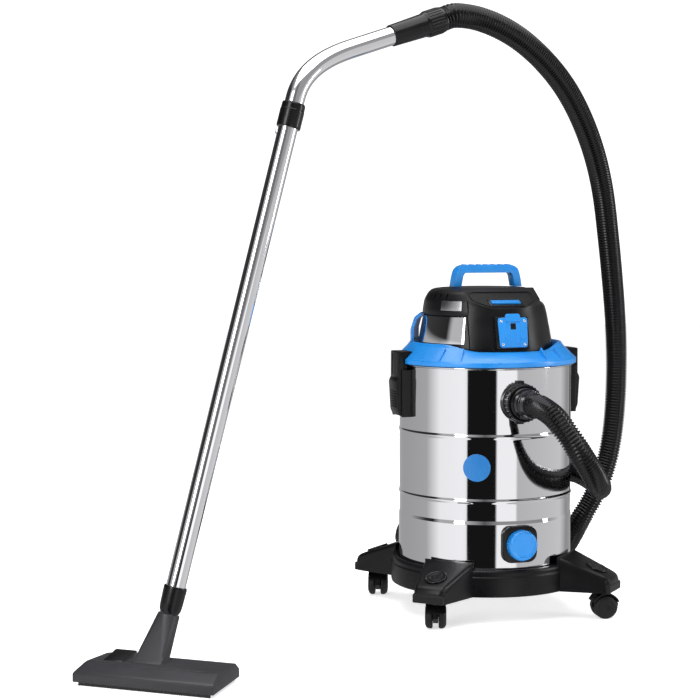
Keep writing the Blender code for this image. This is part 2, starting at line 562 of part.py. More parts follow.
# the head's side wall leans in this far up to this height above the deck
SHOULDER_IN, SHOULDER_UP = 0.0105, 0.066
SHELL_LINE = [(HEAD_R, DECK_Z + GAP), (HEAD_R, DECK_Z + 0.008), (HEAD_R - SHOULDER_IN, DECK_Z + SHOULDER_UP),
              (HEAD_R - 0.0155, DECK_Z + 0.086), (HEAD_R - 0.0245, DECK_Z + 0.0935),
              (HEAD_R - 0.0405, DECK_Z + 0.0975), (HEAD_R - 0.0435, DECK_Z + 0.106),
              (HEAD_R - 0.0465, DECK_Z + 0.115), (HEAD_R - 0.0525, DECK_Z + 0.1185)]
PANEL_HALF = HEAD_R - 0.054
# the slanted face that carries the switch
PANEL_SLOPE = ((-HEAD_R + 0.0155, DECK_Z + 0.0815), (-HEAD_R + 0.0725, DECK_Z + 0.1192))
PANEL_BACK = -HEAD_R + 0.0438
SLANT = atan2(PANEL_SLOPE[1][1] - PANEL_SLOPE[0][1], PANEL_SLOPE[1][0] - PANEL_SLOPE[0][0])


def head_shell():
    inner = [(r - HEAD_WALL, z) for r, z in SHELL_LINE[:5]]
    inner += [(HEAD_R - 0.043, DECK_Z + 0.0945), (HEAD_R - 0.0465, DECK_Z + 0.104),
              (HEAD_R - 0.0495, DECK_Z + 0.1125), (HEAD_R - 0.054, HEAD_TOP_Z - HEAD_WALL)]
    outline = [(0, HEAD_TOP_Z)] + SHELL_LINE[::-1] + inner + [(0, HEAD_TOP_Z - HEAD_WALL)]
    shell = node("head_shell", lathe(outline, FINE), BLACK)
    # room for the front panel, with a clearance all round
    (y0, z0), (y1, z1) = PANEL_SLOPE
    room = [(-0.20, DECK_Z - 0.01), (PANEL_BACK + GAP, DECK_Z - 0.01), (PANEL_BACK + GAP, DECK_Z + 0.0945),
            (y1 + 0.0030, z1 - 0.0046), (y1 + 0.0030, HEAD_TOP_Z + 0.0765), (-0.20, HEAD_TOP_Z + 0.0765)]
    cut(shell, prism(room, -PANEL_HALF - GAP, PANEL_HALF + GAP, SIDE_VIEW))
    port = lathe([(0, -0.05), (PORT_R + GAP, -0.05), (PORT_R + GAP, 0.05), (0, 0.05)], ROUND, PORT)
    cut(shell, port)
    cut(shell, lathe([(0, -0.02), (GLAND_R + GAP, -0.02), (GLAND_R + GAP, 0.02), (0, 0.02)], SMALL, GLAND))


def front_panel():
    """The front moulding: curved with the head, hollow behind, with its top slanted for the switch."""
    (y0, z0), (y1, z1) = PANEL_SLOPE
    stand_off = 0.0025
    env = [(0, DECK_Z + GAP)] + [(r + stand_off, z) for r,
                                 z in SHELL_LINE[:4]] + [(HEAD_R - 0.013, HEAD_TOP_Z + 0.0065),
                                                         (0, HEAD_TOP_Z + 0.0065)]
    panel = node("front_panel", lathe(env, 64), BLACK)
    keep = [(-0.20, DECK_Z + GAP), (PANEL_BACK, DECK_Z + GAP), (PANEL_BACK, DECK_Z + 0.095),
            (y1, z1 - 0.0040), (y1, z1),
            (y0, z0), (-0.20, z0 - 0.0010)]
    boolean(panel, "INTERSECT", prism(keep, -PANEL_HALF, PANEL_HALF, SIDE_VIEW))
    hollow = [(-HEAD_R + 0.0185, DECK_Z + 0.0045), (-0.05, DECK_Z + 0.0045), (-0.05, DECK_Z + 0.066),
              (-HEAD_R + 0.0385, DECK_Z + 0.066), (-HEAD_R + 0.0235, DECK_Z + 0.060)]
    cut(panel, prism(hollow, -PANEL_HALF + 0.018, PANEL_HALF - 0.018, SIDE_VIEW))
    cut(panel, block((-SOCKET_HALF_X - GAP, -SOCKET_HALF_U - GAP, -0.06),
                     (SOCKET_HALF_X + GAP, SOCKET_HALF_U + GAP, 0.03), place=SOCKET))
    cut(panel,
        block((-BEZEL_X - GAP, -BEZEL_U - GAP, -BEZEL_DEEP - GAP), (BEZEL_X + GAP, BEZEL_U + GAP, 0.02),
                     place=SWITCH))


SWITCH_Y = -HEAD_R + 0.032
SWITCH = aim((0, SWITCH_Y, PANEL_SLOPE[0][1] + tan(SLANT) * (SWITCH_Y - PANEL_SLOPE[0][0])),
             (0, -sin(SLANT), cos(SLANT)), (0, cos(SLANT), sin(SLANT)))
BEZEL_X, BEZEL_U, BEZEL_DEEP = 0.0340, 0.0105, 0.0055
ROCKER_X, ROCKER_U = 0.0290, 0.0062


def switch_parts():
    bezel = block((-BEZEL_X, -BEZEL_U, -BEZEL_DEEP), (BEZEL_X, BEZEL_U, 0.0012), place=SWITCH)
    frame = node("switch_bezel", bezel, BLACK)
    cut(frame,
        block((-ROCKER_X - 0.0006, -ROCKER_U - 0.0010, -0.0060),
              (ROCKER_X + 0.0006, ROCKER_U + 0.0010, 0.02),
                     place=SWITCH))
    profile = [(-ROCKER_U, -0.0022), (0.0, -0.0052), (ROCKER_U, -0.0022), (ROCKER_U, 0.0016), (0.0, 0.0030),
               (-ROCKER_U, 0.0046)]
    along_x = Matrix(((0, 0, 1, 0), (1, 0, 0, 0), (0, 1, 0, 0), (0, 0, 0, 1)))
    rocker = prism(profile, -ROCKER_X, ROCKER_X, SWITCH @ along_x)
    node("rocker_switch", rocker, BLUE, pivot=SWITCH.to_translation())


PANEL_LEAN = asin(0.0105 / sqrt(0.0105 ** 2 + 0.058 ** 2))
SOCKET = aim((0, -HEAD_R + 0.0023, DECK_Z + 0.0365), (0, -cos(PANEL_LEAN), sin(PANEL_LEAN)),
             (0, sin(PANEL_LEAN), cos(PANEL_LEAN)))
SOCKET_HALF_X, SOCKET_HALF_U = 0.0330, 0.0300
SOCKET_FACE = 0.0060
FLAP_HINGE_U = 0.0318


def socket_parts():
    box = block((-SOCKET_HALF_X, -SOCKET_HALF_U, -0.032), (SOCKET_HALF_X, SOCKET_HALF_U, SOCKET_FACE),
                place=SOCKET)
    body = node("socket_box", box, BLACK)
    well = lathe([(0, -0.018), (0.0215, -0.018), (0.0215, 0.02), (0, 0.02)], ROUND, SOCKET)
    cut(body, well)
    plate = prism(rounded(0.0295, 0.0280, 0.0045, 2), SOCKET_FACE + 0.0005, SOCKET_FACE + 0.0048, SOCKET)
    flap = node("socket_flap", plate, BLUE, pivot=SOCKET @ Vector((0, FLAP_HINGE_U, SOCKET_FACE + 0.0035)))
    barrel = lathe([(0, -0.0140), (0.0030, -0.0140), (0.0030, 0.0140), (0, 0.0140)], SMALL)
    barrel.transform(SOCKET @ Matrix.Translation((0, FLAP_HINGE_U, SOCKET_FACE + 0.0038))
                     @ Matrix.Rotation(pi / 2, 4, "Y"))
    fuse(flap, barrel)
    fuse(flap, block((-0.0140, 0.0250, SOCKET_FACE + 0.0016), (0.0140, FLAP_HINGE_U, SOCKET_FACE + 0.0062),
                     place=SOCKET))


def chrome_parts():
    lean = -SHOULDER_IN / (SHOULDER_UP - 0.008)
    band = [(HEAD_R + lean * (z - DECK_Z - 0.008) + off, z)
            for off, z in ((GAP * 2, LIP_Z), (0.0022, LIP_Z), (0.0022, DECK_Z + 0.065),
                           (GAP * 2, DECK_Z + 0.065))]
    node("chrome_band", sector(band, radians(40.5), radians(166), 24), CHROME)
    cap = [(HEAD_R - 0.0073, DECK_Z + 0.0675), (HEAD_R - 0.0073, DECK_Z + 0.076),
           (HEAD_R - 0.0105, DECK_Z + 0.095), (HEAD_R - 0.0185, DECK_Z + 0.110),
           (HEAD_R - 0.0275, DECK_Z + 0.116), (HEAD_R - 0.0405, DECK_Z + 0.1175),
           (HEAD_R - 0.0405, DECK_Z + 0.0985), (HEAD_R - 0.0238, DECK_Z + 0.0944),
           (HEAD_R - 0.0146, DECK_Z + 0.0865), (HEAD_R - 0.0098, DECK_Z + 0.0675)]
    side = node("side_cap", sector(cap, radians(36), radians(160), 24), BLACK)
    cut(side,
        block((-PANEL_HALF - GAP, -0.20, DECK_Z - 0.004), (PANEL_HALF + GAP, -0.03, HEAD_TOP_Z + 0.0765)))
    strip = [(HEAD_R - 0.00695, DECK_Z + 0.077), (HEAD_R - 0.006, DECK_Z + 0.0772),
             (HEAD_R - 0.00915, DECK_Z + 0.095), (HEAD_R - 0.0101, DECK_Z + 0.0948)]
    node("chrome_strip", sector(strip, radians(44), radians(66), 6), CHROME)


def carry_handle():
    half = HEAD_R - 0.0585
    outer = [(half, HEAD_TOP_Z + GAP), (half - 0.004, HEAD_TOP_Z + 0.0245),
             (half - 0.009, HEAD_TOP_Z + 0.036), (half - 0.020, HEAD_TOP_Z + 0.043)]
    inner = [(half - 0.015, HEAD_TOP_Z + GAP), (half - 0.0195, HEAD_TOP_Z + 0.0225),
             (half - 0.023, HEAD_TOP_Z + 0.0265)]
    arch = outer + [(-x, z) for x, z in reversed(outer)] + [(-x, z) for x, z in inner] + inner[::-1]
    bm = prism(arch, -0.0130, 0.0130, FRONT_VIEW)
    soft = [e for e in bm.edges if abs(e.verts[0].co.y - e.verts[1].co.y) < 1e-6
            and max(v.co.z for v in e.verts) > HEAD_TOP_Z + 0.001]
    bmesh.ops.bevel(bm, geom=soft, offset=0.003, segments=1, affect="EDGES", profile=0.5, material=-1)
    node("carry_handle", bm, BLUE)


PORT = aim((0, HEAD_R - 0.0105, DECK_Z + 0.044), (0, 1, 0))
PORT_R = 0.0215
GLAND = aim((HEAD_R * 0.482490, HEAD_R * 0.811673, DECK_Z + 0.029), (0.062, 0.1043, 0.0))
GLAND_R = 0.0065


def rear_parts():
    pipe = [(0.0185, -0.022), (PORT_R, -0.022), (PORT_R, 0.0105), (0.0255, 0.0105), (0.0255, 0.0140),
            (PORT_R, 0.0140), (PORT_R, 0.0300), (0.0185, 0.0300)]
    node("blower_port", lathe(pipe, ROUND, PORT), BLACK)
    plug = [(0, -0.010), (GLAND_R, -0.010), (GLAND_R, 0.0095), (0.0090, 0.0095), (0.0090, 0.0125),
            (0.0060, 0.0250),
            (0, 0.0250)]
    node("cable_gland", lathe(plug, SMALL, GLAND), BLACK)


# ---------------------------------------------------------------- hose, wand and nozzle
# Route of the hose: out of the connector, round the drum's right side and back, one loop on the floor
# behind the drum, then up and over to the bent tube.
HOSE_ROUTE = [
    (0.000, -0.262, 0.4150), (0.005, -0.290, 0.408), (0.016, -0.314, 0.388),
    (0.032, -0.328, 0.360), (0.052, -0.329, 0.330), (0.076, -0.315, 0.302), (0.101, -0.285, 0.279),
    (0.126, -0.245, 0.263), (0.150, -0.197, 0.254), (0.171, -0.146, 0.250), (0.190, -0.091, 0.249),
    (0.202, -0.035, 0.250), (0.208, 0.023, 0.251), (0.205, 0.083, 0.250), (0.189, 0.141, 0.246),
    (0.157, 0.194, 0.236), (0.112, 0.240, 0.219), (0.062, 0.279, 0.193), (0.018, 0.318, 0.158),
    (-0.010, 0.364, 0.116), (-0.012, 0.417, 0.075), (0.014, 0.467, 0.044), (0.064, 0.501, 0.028),
    (0.126, 0.506, 0.0224), (0.186, 0.484, 0.0222), (0.233, 0.438, 0.0222), (0.262, 0.378, 0.024),
    (0.274, 0.313, 0.030), (0.274, 0.250, 0.046), (0.266, 0.196, 0.074), (0.264, 0.158, 0.105),
    (0.276, 0.143, 0.140), (0.293, 0.135, 0.174), (0.311, 0.129, 0.215), (0.323, 0.124, 0.258),
    (0.330, 0.120, 0.300), (0.334, 0.116, 0.350), (0.335, 0.111, 0.414), (0.332, 0.105, 0.486),
    (0.323, 0.095, 0.560), (0.307, 0.078, 0.640), (0.285, 0.053, 0.722), (0.257, 0.020, 0.804),
    (0.221, -0.018, 0.873), (0.1755, -0.058, 0.937), (0.123, -0.099, 0.992), (0.065, -0.138, 1.036),
    (-0.001, -0.176, 1.073), (-0.067, -0.208, 1.097), (-0.128, -0.232, 1.108)]
CUFF_FROM = Vector((-0.1880, -0.2502, 1.0993))
CUFF_TO = Vector((-0.2877, -0.2660, 1.0661))
WAND_TOP = Vector((-0.4790, -0.3070, 0.9240))
WAND_LOW = Vector((-0.6965, -0.3435, 0.1200))
SLEEVE_L = 0.0430
COLLAR_L = 0.0460


def smooth_line(points, spacing):
    """Points at an even spacing on a Catmull-Rom curve through the given ones."""
    pts = [Vector(p) for p in points]
    pts = [2 * pts[0] - pts[1]] + pts + [2 * pts[-1] - pts[-2]]
    dense = []
    for a, b, c, d in zip(pts, pts[1:], pts[2:], pts[3:]):
        for k in range(12):
            t = k / 12
            dense.append(0.5 * ((2 * b) + (c - a) * t + (2 * a - 5 * b + 4 * c - d) * t * t
                                + (3 * b - a - 3 * c + d) * t ** 3))
    dense.append(pts[-2])
    length = sum((b - a).length for a, b in zip(dense, dense[1:]))
    count = max(2, round(length / spacing))
    out, walked, want = [dense[0]], 0.0, 1
    for a, b in zip(dense, dense[1:]):
        step = (b - a).length
        while want < count and walked + step >= want * length / count:
            out.append(a.lerp(b, (want * length / count - walked) / step))
            want += 1
        walked += step
    out.append(dense[-1])
    return out


def hose():
    mouth = Vector((0, -DRUM_R - CONNECTOR_END - GAP, INLET_Z))
    out_of_cuff = (CUFF_FROM - CUFF_TO).normalized()
    end = CUFF_FROM + out_of_cuff * GAP
    line = [mouth] + smooth_line(HOSE_ROUTE + [end + out_of_cuff * 0.025], 0.0440) + [end]
    curve = bpy.data.curves.new("hose", "CURVE")
    curve.dimensions = "3D"
    curve.bevel_depth = HOSE_R
    curve.bevel_resolution = 3
    curve.use_fill_caps = True
    spline = curve.splines.new("POLY")
    spline.points.add(len(line) - 1)
    for point, co in zip(spline.points, line):
        point.co = (*co, 1.0)
    curve.materials.append(BLACK)
    obj = bpy.data.objects.new("hose", curve)
    bpy.context.scene.collection.objects.link(obj)
    obj.parent = ORIGIN


def along(a, b):
    """Placement with local Z running from a towards b."""
    return aim(a, b - a)


WAND = along(WAND_TOP, WAND_LOW)                   # local Z runs down the straight tube
WAND_L = (WAND_LOW - WAND_TOP).length


def wand_parts():
    cuff_l = (CUFF_TO - CUFF_FROM).length
    cuff = [(TUBE_R + GAP, 0.0), (TUBE_R + 0.0057, 0.0), (TUBE_R + 0.0061, 0.0030),
            (TUBE_R + 0.0061, 0.0350), (TUBE_R + 0.0043, 0.0385),
            (TUBE_R + 0.004, 0.0480), (TUBE_R + 0.0023, cuff_l), (TUBE_R + GAP, cuff_l)]
    node("hose_end_cuff", lathe(cuff, ROUND, along(CUFF_FROM, CUFF_TO)), BLACK)
    into_cuff = (CUFF_FROM - CUFF_TO).normalized()
    up_wand = (WAND_TOP - WAND_LOW).normalized()
    start = CUFF_TO + into_cuff * 0.030
    stop = WAND_TOP
    reach = 0.080
    corner_a = CUFF_TO - into_cuff * reach
    corner_b = WAND_TOP + up_wand * 0.030
    path = [start, CUFF_TO, corner_a]
    tangent = (corner_b - corner_a).length * 1.05
    for k in range(1, 8):
        t = k / 8
        h00, h10 = 2 * t ** 3 - 3 * t ** 2 + 1, t ** 3 - 2 * t ** 2 + t
        h01, h11 = -2 * t ** 3 + 3 * t ** 2, t ** 3 - t ** 2
        path.append(corner_a * h00 - into_cuff * tangent * h10 + corner_b * h01 - up_wand * tangent * h11)
    path += [corner_b, stop]
    node("bent_tube", tube(path, TUBE_R, TUBE_R - TUBE_WALL, 18), CHROME)
    sleeve = [(TUBE_R + GAP, -SLEEVE_L / 2), (TUBE_R + 0.0027, -SLEEVE_L / 2),
              (TUBE_R + 0.0035, -SLEEVE_L / 2 + 0.003),
              (TUBE_R + 0.0041, SLEEVE_L / 2 - 0.002), (TUBE_R + 0.0035, SLEEVE_L / 2),
              (TUBE_R + GAP, SLEEVE_L / 2)]
    node("tube_sleeve", lathe(sleeve, ROUND, WAND), BLACK)
    straight = node("straight_tube", tube([WAND @ Vector((0, 0, 0.0004)), WAND @ Vector((0, 0, WAND_L))],
                                          TUBE_R, TUBE_R - TUBE_WALL, 18), CHROME)
    # the spring button stands out of the tube's left side, under the sleeve
    left = Vector((-0.924, 0.381, 0.0))
    down = (WAND_LOW - WAND_TOP).normalized()
    left = (left - down * left.dot(down)).normalized()
    at = WAND_TOP + down * (SLEEVE_L / 2 + 0.010) + left * TUBE_R
    place = aim(at, left)
    cut(straight, lathe([(0, -0.006), (0.0042, -0.006), (0.0042, 0.006), (0, 0.006)], SMALL, place))
    button = [(0, -0.0060), (0.0052, -0.0060), (0.0052, -0.0042), (0.0036, -0.0040), (0.0036, 0.0020),
              (0.0022, 0.0032), (0, 0.0032)]
    node("tube_button", lathe(button, SMALL, place), ZINC, pivot=at)


NOZZLE = Matrix.Translation(NOZZLE_AT) @ about_z(NOZZLE_TURN)
NECK_BASE = Vector((-0.018, 0.008, 0.0265))        # middle of the neck's barrel, in the nozzle's own frame
BARREL_R, BARREL_HALF = 0.0185, 0.0265
NECK_HALF_X, NECK_HALF_Y = 0.0262, 0.0165
BRUSH_Y = -0.0560


def nozzle_parts():
    insert = 0.030
    collar = [(TUBE_R + GAP, -insert), (TUBE_R + 0.0025, -insert), (TUBE_R + 0.0032, -insert + 0.003),
              (TUBE_R + 0.0025, COLLAR_L - insert - 0.016),
              (TUBE_R + 0.0015, COLLAR_L - insert - 0.006), (TUBE_R - 0.0015, COLLAR_L - insert),
              (TUBE_R - 0.0055, COLLAR_L - insert),
              (TUBE_R - 0.0055, 0.0008), (TUBE_R + GAP, 0.0008)]
    collar_place = aim(WAND @ Vector((0, 0, WAND_L)), WAND_LOW - WAND_TOP)
    node("nozzle_collar", lathe(collar, ROUND, collar_place), BLACK)
    # the neck: a four-sided duct that narrows from the nozzle's top to a round mouth under the collar
    down = (WAND_LOW - WAND_TOP).normalized()
    mouth_at = WAND_LOW + down * (COLLAR_L - insert + 0.0008)
    barrel_place = NOZZLE @ Matrix.Translation(NECK_BASE)

    def duct(half_x, half_y, foot_z, radius, past):
        """A loft from a rounded rectangle at the barrel to a round mouth under the collar."""
        bm = bmesh.new()
        foot, ring = [], []
        for x, y in rounded(half_x, half_y, 0.006, 3):
            foot.append(bm.verts.new(barrel_place @ Vector((x, y, foot_z))))
            around = barrel_place.to_3x3() @ Vector((x, y, 0))
            flat = (around - down * around.dot(down)).normalized()
            ring.append(bm.verts.new(mouth_at - down * past + flat * radius))
        for k in range(len(foot)):
            j = (k + 1) % len(foot)
            bm.faces.new((foot[k], foot[j], ring[j], ring[k]))
        bm.faces.new(foot)
        bm.faces.new(ring)
        return bm

    neck = node("nozzle_neck", duct(NECK_HALF_X, NECK_HALF_Y, 0.0070, TUBE_R + 0.0017, 0.0), BLACK,
                pivot=NOZZLE @ NECK_BASE)
    barrel = lathe([(0, -BARREL_HALF), (BARREL_R, -BARREL_HALF), (BARREL_R, BARREL_HALF),
                    (0, BARREL_HALF)], ROUND)
    barrel.transform(barrel_place @ Matrix.Rotation(pi / 2, 4, "Y"))
    fuse(neck, barrel)
    cut(neck, duct(NECK_HALF_X - 0.0062, NECK_HALF_Y - 0.004, -0.0240, TUBE_R - 0.0015, 0.003))

    half_w, half_d = NOZZLE_W / 2, NOZZLE_D / 2
    side = [(-half_d, NOZZLE_Z), (-half_d, 0.0200), (-half_d + 0.004, 0.0235), (-0.034, 0.0315),
            (-0.026, NOZZLE_H),
            (0.036, NOZZLE_H), (half_d - 0.008, 0.0300), (half_d, 0.0200), (half_d, NOZZLE_Z)]
    shell = prism(side, -half_w, half_w, SIDE_VIEW)
    for v in shell.verts:
        slope_in = 0.006 * max(0.0, (v.co.z - 0.020) / (NOZZLE_H - 0.020))
        plan_in = 0.010 * max(0.0, v.co.y / half_d)
        v.co.x -= (slope_in + plan_in) * (1 if v.co.x > 0 else -1)
    shell.transform(NOZZLE)
    body = node("nozzle_body", shell, BLACK)
    cut(body, block((-0.108, -0.044, -0.01), (0.108, -0.014, 0.0230), place=NOZZLE))
    cut(body, block((-0.040, -0.020, -0.01), (0.004, 0.020, 0.0230), place=NOZZLE))
    for side in (-1, 1):
        fuse(body,
             block((side * 0.085 - 0.016, 0.046, 0.0003), (side * 0.085 + 0.016, 0.056, 0.009),
                   place=NOZZLE))
    cradle = lathe([(0, -BARREL_HALF - GAP), (BARREL_R + GAP, -BARREL_HALF - GAP),
                    (BARREL_R + GAP, BARREL_HALF + GAP), (0, BARREL_HALF + GAP)], ROUND)
    cradle.transform(NOZZLE @ Matrix.Translation(NECK_BASE) @ Matrix.Rotation(pi / 2, 4, "Y"))
    cut(body, cradle)
    swing = BARREL_R + 0.0007          # the neck's foot swings inside this, and leans further out behind
    cut(body, block((-NECK_HALF_X - 0.001, -swing, 0.0006), (NECK_HALF_X + 0.001, swing + 0.0072, 0.05),
                    place=NOZZLE @ Matrix.Translation(NECK_BASE)))
    cut(body,
        block((-0.118 - GAP, BRUSH_Y - 0.0030, -0.01), (0.118 + GAP, BRUSH_Y + 0.0030, 0.0195),
              place=NOZZLE))
    cut(body, block((PEDAL_X - 0.0188, PEDAL_Y - 0.0265, 0.0245), (PEDAL_X + 0.0188, PEDAL_Y + 0.0265, 0.06),
                    place=NOZZLE))
    brush = block((-0.118, BRUSH_Y - 0.0026, 0.0002), (0.118, BRUSH_Y + 0.0026, 0.0140), place=NOZZLE)
    node("brush_strip", brush, BRISTLE)
    wedge = [(PEDAL_Y - 0.0255, 0.0295), (PEDAL_Y, 0.0275), (PEDAL_Y + 0.0255, 0.0295),
             (PEDAL_Y + 0.0255, 0.0410),
             (PEDAL_Y + 0.0180, 0.0430), (PEDAL_Y - 0.0255, 0.0350)]
    pedal = prism(wedge, PEDAL_X - 0.0180, PEDAL_X + 0.0180, NOZZLE @ SIDE_VIEW)
    node("nozzle_pedal", pedal, BLACK, pivot=NOZZLE @ Vector((PEDAL_X, PEDAL_Y, 0.0320)))


PEDAL_X, PEDAL_Y = -0.0760, 0.0120


# ---------------------------------------------------------------- assembly
dolly_base()
for corner, corner_angle in CASTER_ANGLES.items():
    foot_cap(corner, corner_angle)
    caster(corner, corner_angle)
drum()
inlet_flange()
inlet_deflector()
hose_connector()
lock_ring()
drain_parts()
latch("left", -1)
latch("right", 1)
lid_ring()
lid_seal()
cord_guard()
filter_parts()
motor_parts()
head_shell()
front_panel()
switch_parts()
socket_parts()
chrome_parts()
carry_handle()
rear_parts()
hose()
wand_parts()
nozzle_parts()


def middle_of_box():
    """Middle, in plan, of everything but the hose."""
    bpy.context.view_layer.update()
    graph = bpy.context.evaluated_depsgraph_get()
    low, high = Vector((9, 9, 9)), Vector((-9, -9, -9))
    for obj in bpy.context.scene.objects:
        if obj.type != "MESH" or obj.hide_render:
            continue
        shown = obj.evaluated_get(graph)
        for v in shown.to_mesh().vertices:
            co = shown.matrix_world @ v.co
            low = Vector(map(min, low, co))
            high = Vector(map(max, high, co))
        shown.to_mesh_clear()
    return (low + high) / 2


centre = middle_of_box()
ORIGIN.location = (-centre.x, -centre.y, 0)
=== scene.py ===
"""Looks of the shop vacuum: polished drum, blue and black mouldings, ribbed hose, chrome wand and floor nozzle."""

from math import atan2, cos, pi, radians, sin, sqrt, tan

import bmesh
import bpy
from mathutils import Matrix, Vector


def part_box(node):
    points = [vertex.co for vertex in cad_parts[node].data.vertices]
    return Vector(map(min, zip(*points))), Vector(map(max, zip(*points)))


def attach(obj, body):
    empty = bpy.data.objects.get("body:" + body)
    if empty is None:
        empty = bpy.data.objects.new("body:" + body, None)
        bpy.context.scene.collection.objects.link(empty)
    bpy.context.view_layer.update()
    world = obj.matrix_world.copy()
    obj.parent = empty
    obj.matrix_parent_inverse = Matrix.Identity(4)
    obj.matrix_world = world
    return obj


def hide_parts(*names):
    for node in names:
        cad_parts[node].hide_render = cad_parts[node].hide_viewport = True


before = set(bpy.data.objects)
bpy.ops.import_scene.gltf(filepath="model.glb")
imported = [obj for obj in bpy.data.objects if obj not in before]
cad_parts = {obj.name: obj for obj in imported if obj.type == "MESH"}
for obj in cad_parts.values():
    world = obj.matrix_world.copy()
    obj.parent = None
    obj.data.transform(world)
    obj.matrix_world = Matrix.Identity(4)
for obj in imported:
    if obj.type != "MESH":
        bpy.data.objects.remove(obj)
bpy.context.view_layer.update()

# -------- places, in metres
drum_low, drum_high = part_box("drum")
AXIS = Vector(((drum_low.x + drum_high.x) / 2, (drum_low.y + drum_high.y) / 2, 0.0))
AT_AXIS = Matrix.Translation(AXIS)      # pieces are laid out round the drum's axis, front towards -Y
GAP = 0.0003

DRUM_R = 0.165
INLET_Z = 0.415
DRAIN_Z = 0.151
DECK_Z = 0.504
HEAD_TOP_Z = 0.6235
HOSE_R = 0.02175
TUBE_R, TUBE_WALL = 0.0165, 0.0012
BADGE_R, BADGE_Z, BADGE_AROUND = 0.0255, 0.2935, radians(27.5)


# -------- small helpers
moved = Matrix.Translation
STOOD = Matrix.Rotation(pi / 2, 4, "X")      # a quarter turn about X


def as_mesh(name, bm):
    mesh = bpy.data.meshes.new(name)
    bm.to_mesh(mesh)
    bm.free()
    return mesh


def linked(name, data):
    """A new object of this data, in the scene."""
    obj = bpy.data.objects.new(name, data)
    bpy.context.scene.collection.objects.link(obj)
    return obj


def aimed(obj, place, direction):
    """A camera or light set down and turned to look along a direction."""
    obj.location = place
    obj.rotation_mode = "QUATERNION"
    obj.rotation_quaternion = direction.to_track_quat("-Z", "Y")


def verts_of(grown):
    return [g for g in grown["geom"] if isinstance(g, bmesh.types.BMVert)]


# -------- shaping
def rounded_face(bm, points):
    """A face through (a, b) or (a, b, rounding) points in XZ, its corners eased by their rounding."""
    verts = [bm.verts.new((p[0], 0.0, p[1])) for p in points]
    bm.faces.new(verts)
    for vert, point in zip(verts, points):
        if len(point) > 2 and point[2]:
            bmesh.ops.bevel(bm, geom=[vert], offset=point[2], segments=4, affect="VERTICES", profile=0.5,
                            material=-1)
    return list(bm.faces)[0]


def tidied(bm):
    bmesh.ops.remove_doubles(bm, verts=bm.verts, dist=1e-6)
    bmesh.ops.dissolve_degenerate(bm, edges=bm.edges, dist=1e-7)
    bmesh.ops.recalc_face_normals(bm, faces=bm.faces)
    return bm


def turned(points, steps=96, place=None, sweep=None):
    """A solid turned round Z from a closed outline of (radius, height) points; sweep is (start, end) from the front
    towards -X for a part of a turn."""
    bm = bmesh.new()
    face = rounded_face(bm, points)
    if sweep is None:
        bmesh.ops.delete(bm, geom=[face], context="FACES_ONLY")
        on_axis = [e for e in bm.edges if all(v.co.x < 1e-6 for v in e.verts)]
        bmesh.ops.delete(bm, geom=on_axis, context="EDGES")
        bmesh.ops.spin(bm, geom=bm.verts[:] + bm.edges[:], axis=(0, 0, 1), cent=(0, 0, 0), angle=2 * pi,
                       steps=steps, use_merge=True)
        bmesh.ops.remove_doubles(bm, verts=bm.verts, dist=1e-6)
        bmesh.ops.delete(bm, geom=[e for e in bm.edges if not e.link_faces], context="EDGES")
    else:
        bm.transform(Matrix.Rotation(-pi / 2 - sweep[0], 4, "Z"))
        bmesh.ops.spin(bm, geom=[face], axis=(0, 0, 1), cent=(0, 0, 0), angle=sweep[0] - sweep[1], steps=steps)
    if place:
        bm.transform(place)
    return tidied(bm)


def slab(points, low, high, place=None, ease=0.0, segments=2):
    """A solid drawn as an (x, z) outline and made thick along Y from low to high."""
    bm = bmesh.new()
    face = rounded_face(bm, points)
    bmesh.ops.translate(bm, verts=bm.verts, vec=(0, low, 0))
    grown = bmesh.ops.extrude_face_region(bm, geom=[face])
    bmesh.ops.translate(bm, verts=verts_of(grown), vec=(0, high - low, 0))
    bmesh.ops.recalc_face_normals(bm, faces=bm.faces)
    if ease:
        ease_edges(bm, ease, segments)
    if place:
        bm.transform(place)
    return tidied(bm)


def ease_edges(bm, width, segments=2, above=35):
    """Rounds every edge that turns by more than an angle."""
    sharp = [e for e in bm.edges if len(e.link_faces) == 2 and e.calc_face_angle(0) > radians(above)]
    bmesh.ops.bevel(bm, geom=sharp, offset=width, segments=segments, affect="EDGES", profile=0.5, material=-1,
                    clamp_overlap=True)
    return bm


def box_shape(low, high, place=None, ease=0.0, segments=2):
    (x0, y0, z0), (x1, y1, z1) = low, high
    return slab([(x0, z0), (x1, z0), (x1, z1), (x0, z1)], y0, y1, place, ease, segments)


def rod(radius, low, high, steps, place=None):
    """A plain round bar along Z, mostly for cutting bores."""
    return turned([(0, low), (radius, low), (radius, high), (0, high)], steps, place)


def rectangle(half_a, half_b, corner):
    """The outline of a rectangle with rounded corners."""
    return [(half_a, half_b, corner), (-half_a, half_b, corner), (-half_a, -half_b, corner),
            (half_a, -half_b, corner)]


def added(bm, *others):
    """Several shapes as one mesh."""
    for other in others:
        spare = as_mesh("spare", other)
        bm.from_mesh(spare)
        bpy.data.meshes.remove(spare)
    return bm


def worked(bm, operation, tool):
    """One shape cut by, joined to or kept within a tool shape."""
    objects = [linked("work", as_mesh("work", shape)) for shape in (bm, tool)]
    mod = objects[0].modifiers.new("work", "BOOLEAN")
    mod.operation, mod.solver, mod.object = operation, "EXACT", objects[1]
    graph = bpy.context.evaluated_depsgraph_get()
    result = bmesh.new()
    result.from_mesh(objects[0].evaluated_get(graph).to_mesh())
    for obj in objects:
        mesh = obj.data
        bpy.data.objects.remove(obj)
        bpy.data.meshes.remove(mesh)
    return result


def cut(shape, *tools):
    for tool in tools:
        shape = worked(shape, "DIFFERENCE", tool)
    return shape


def fused(shape, *others):
    for other in others:
        shape = worked(shape, "UNION", other)
    return shape


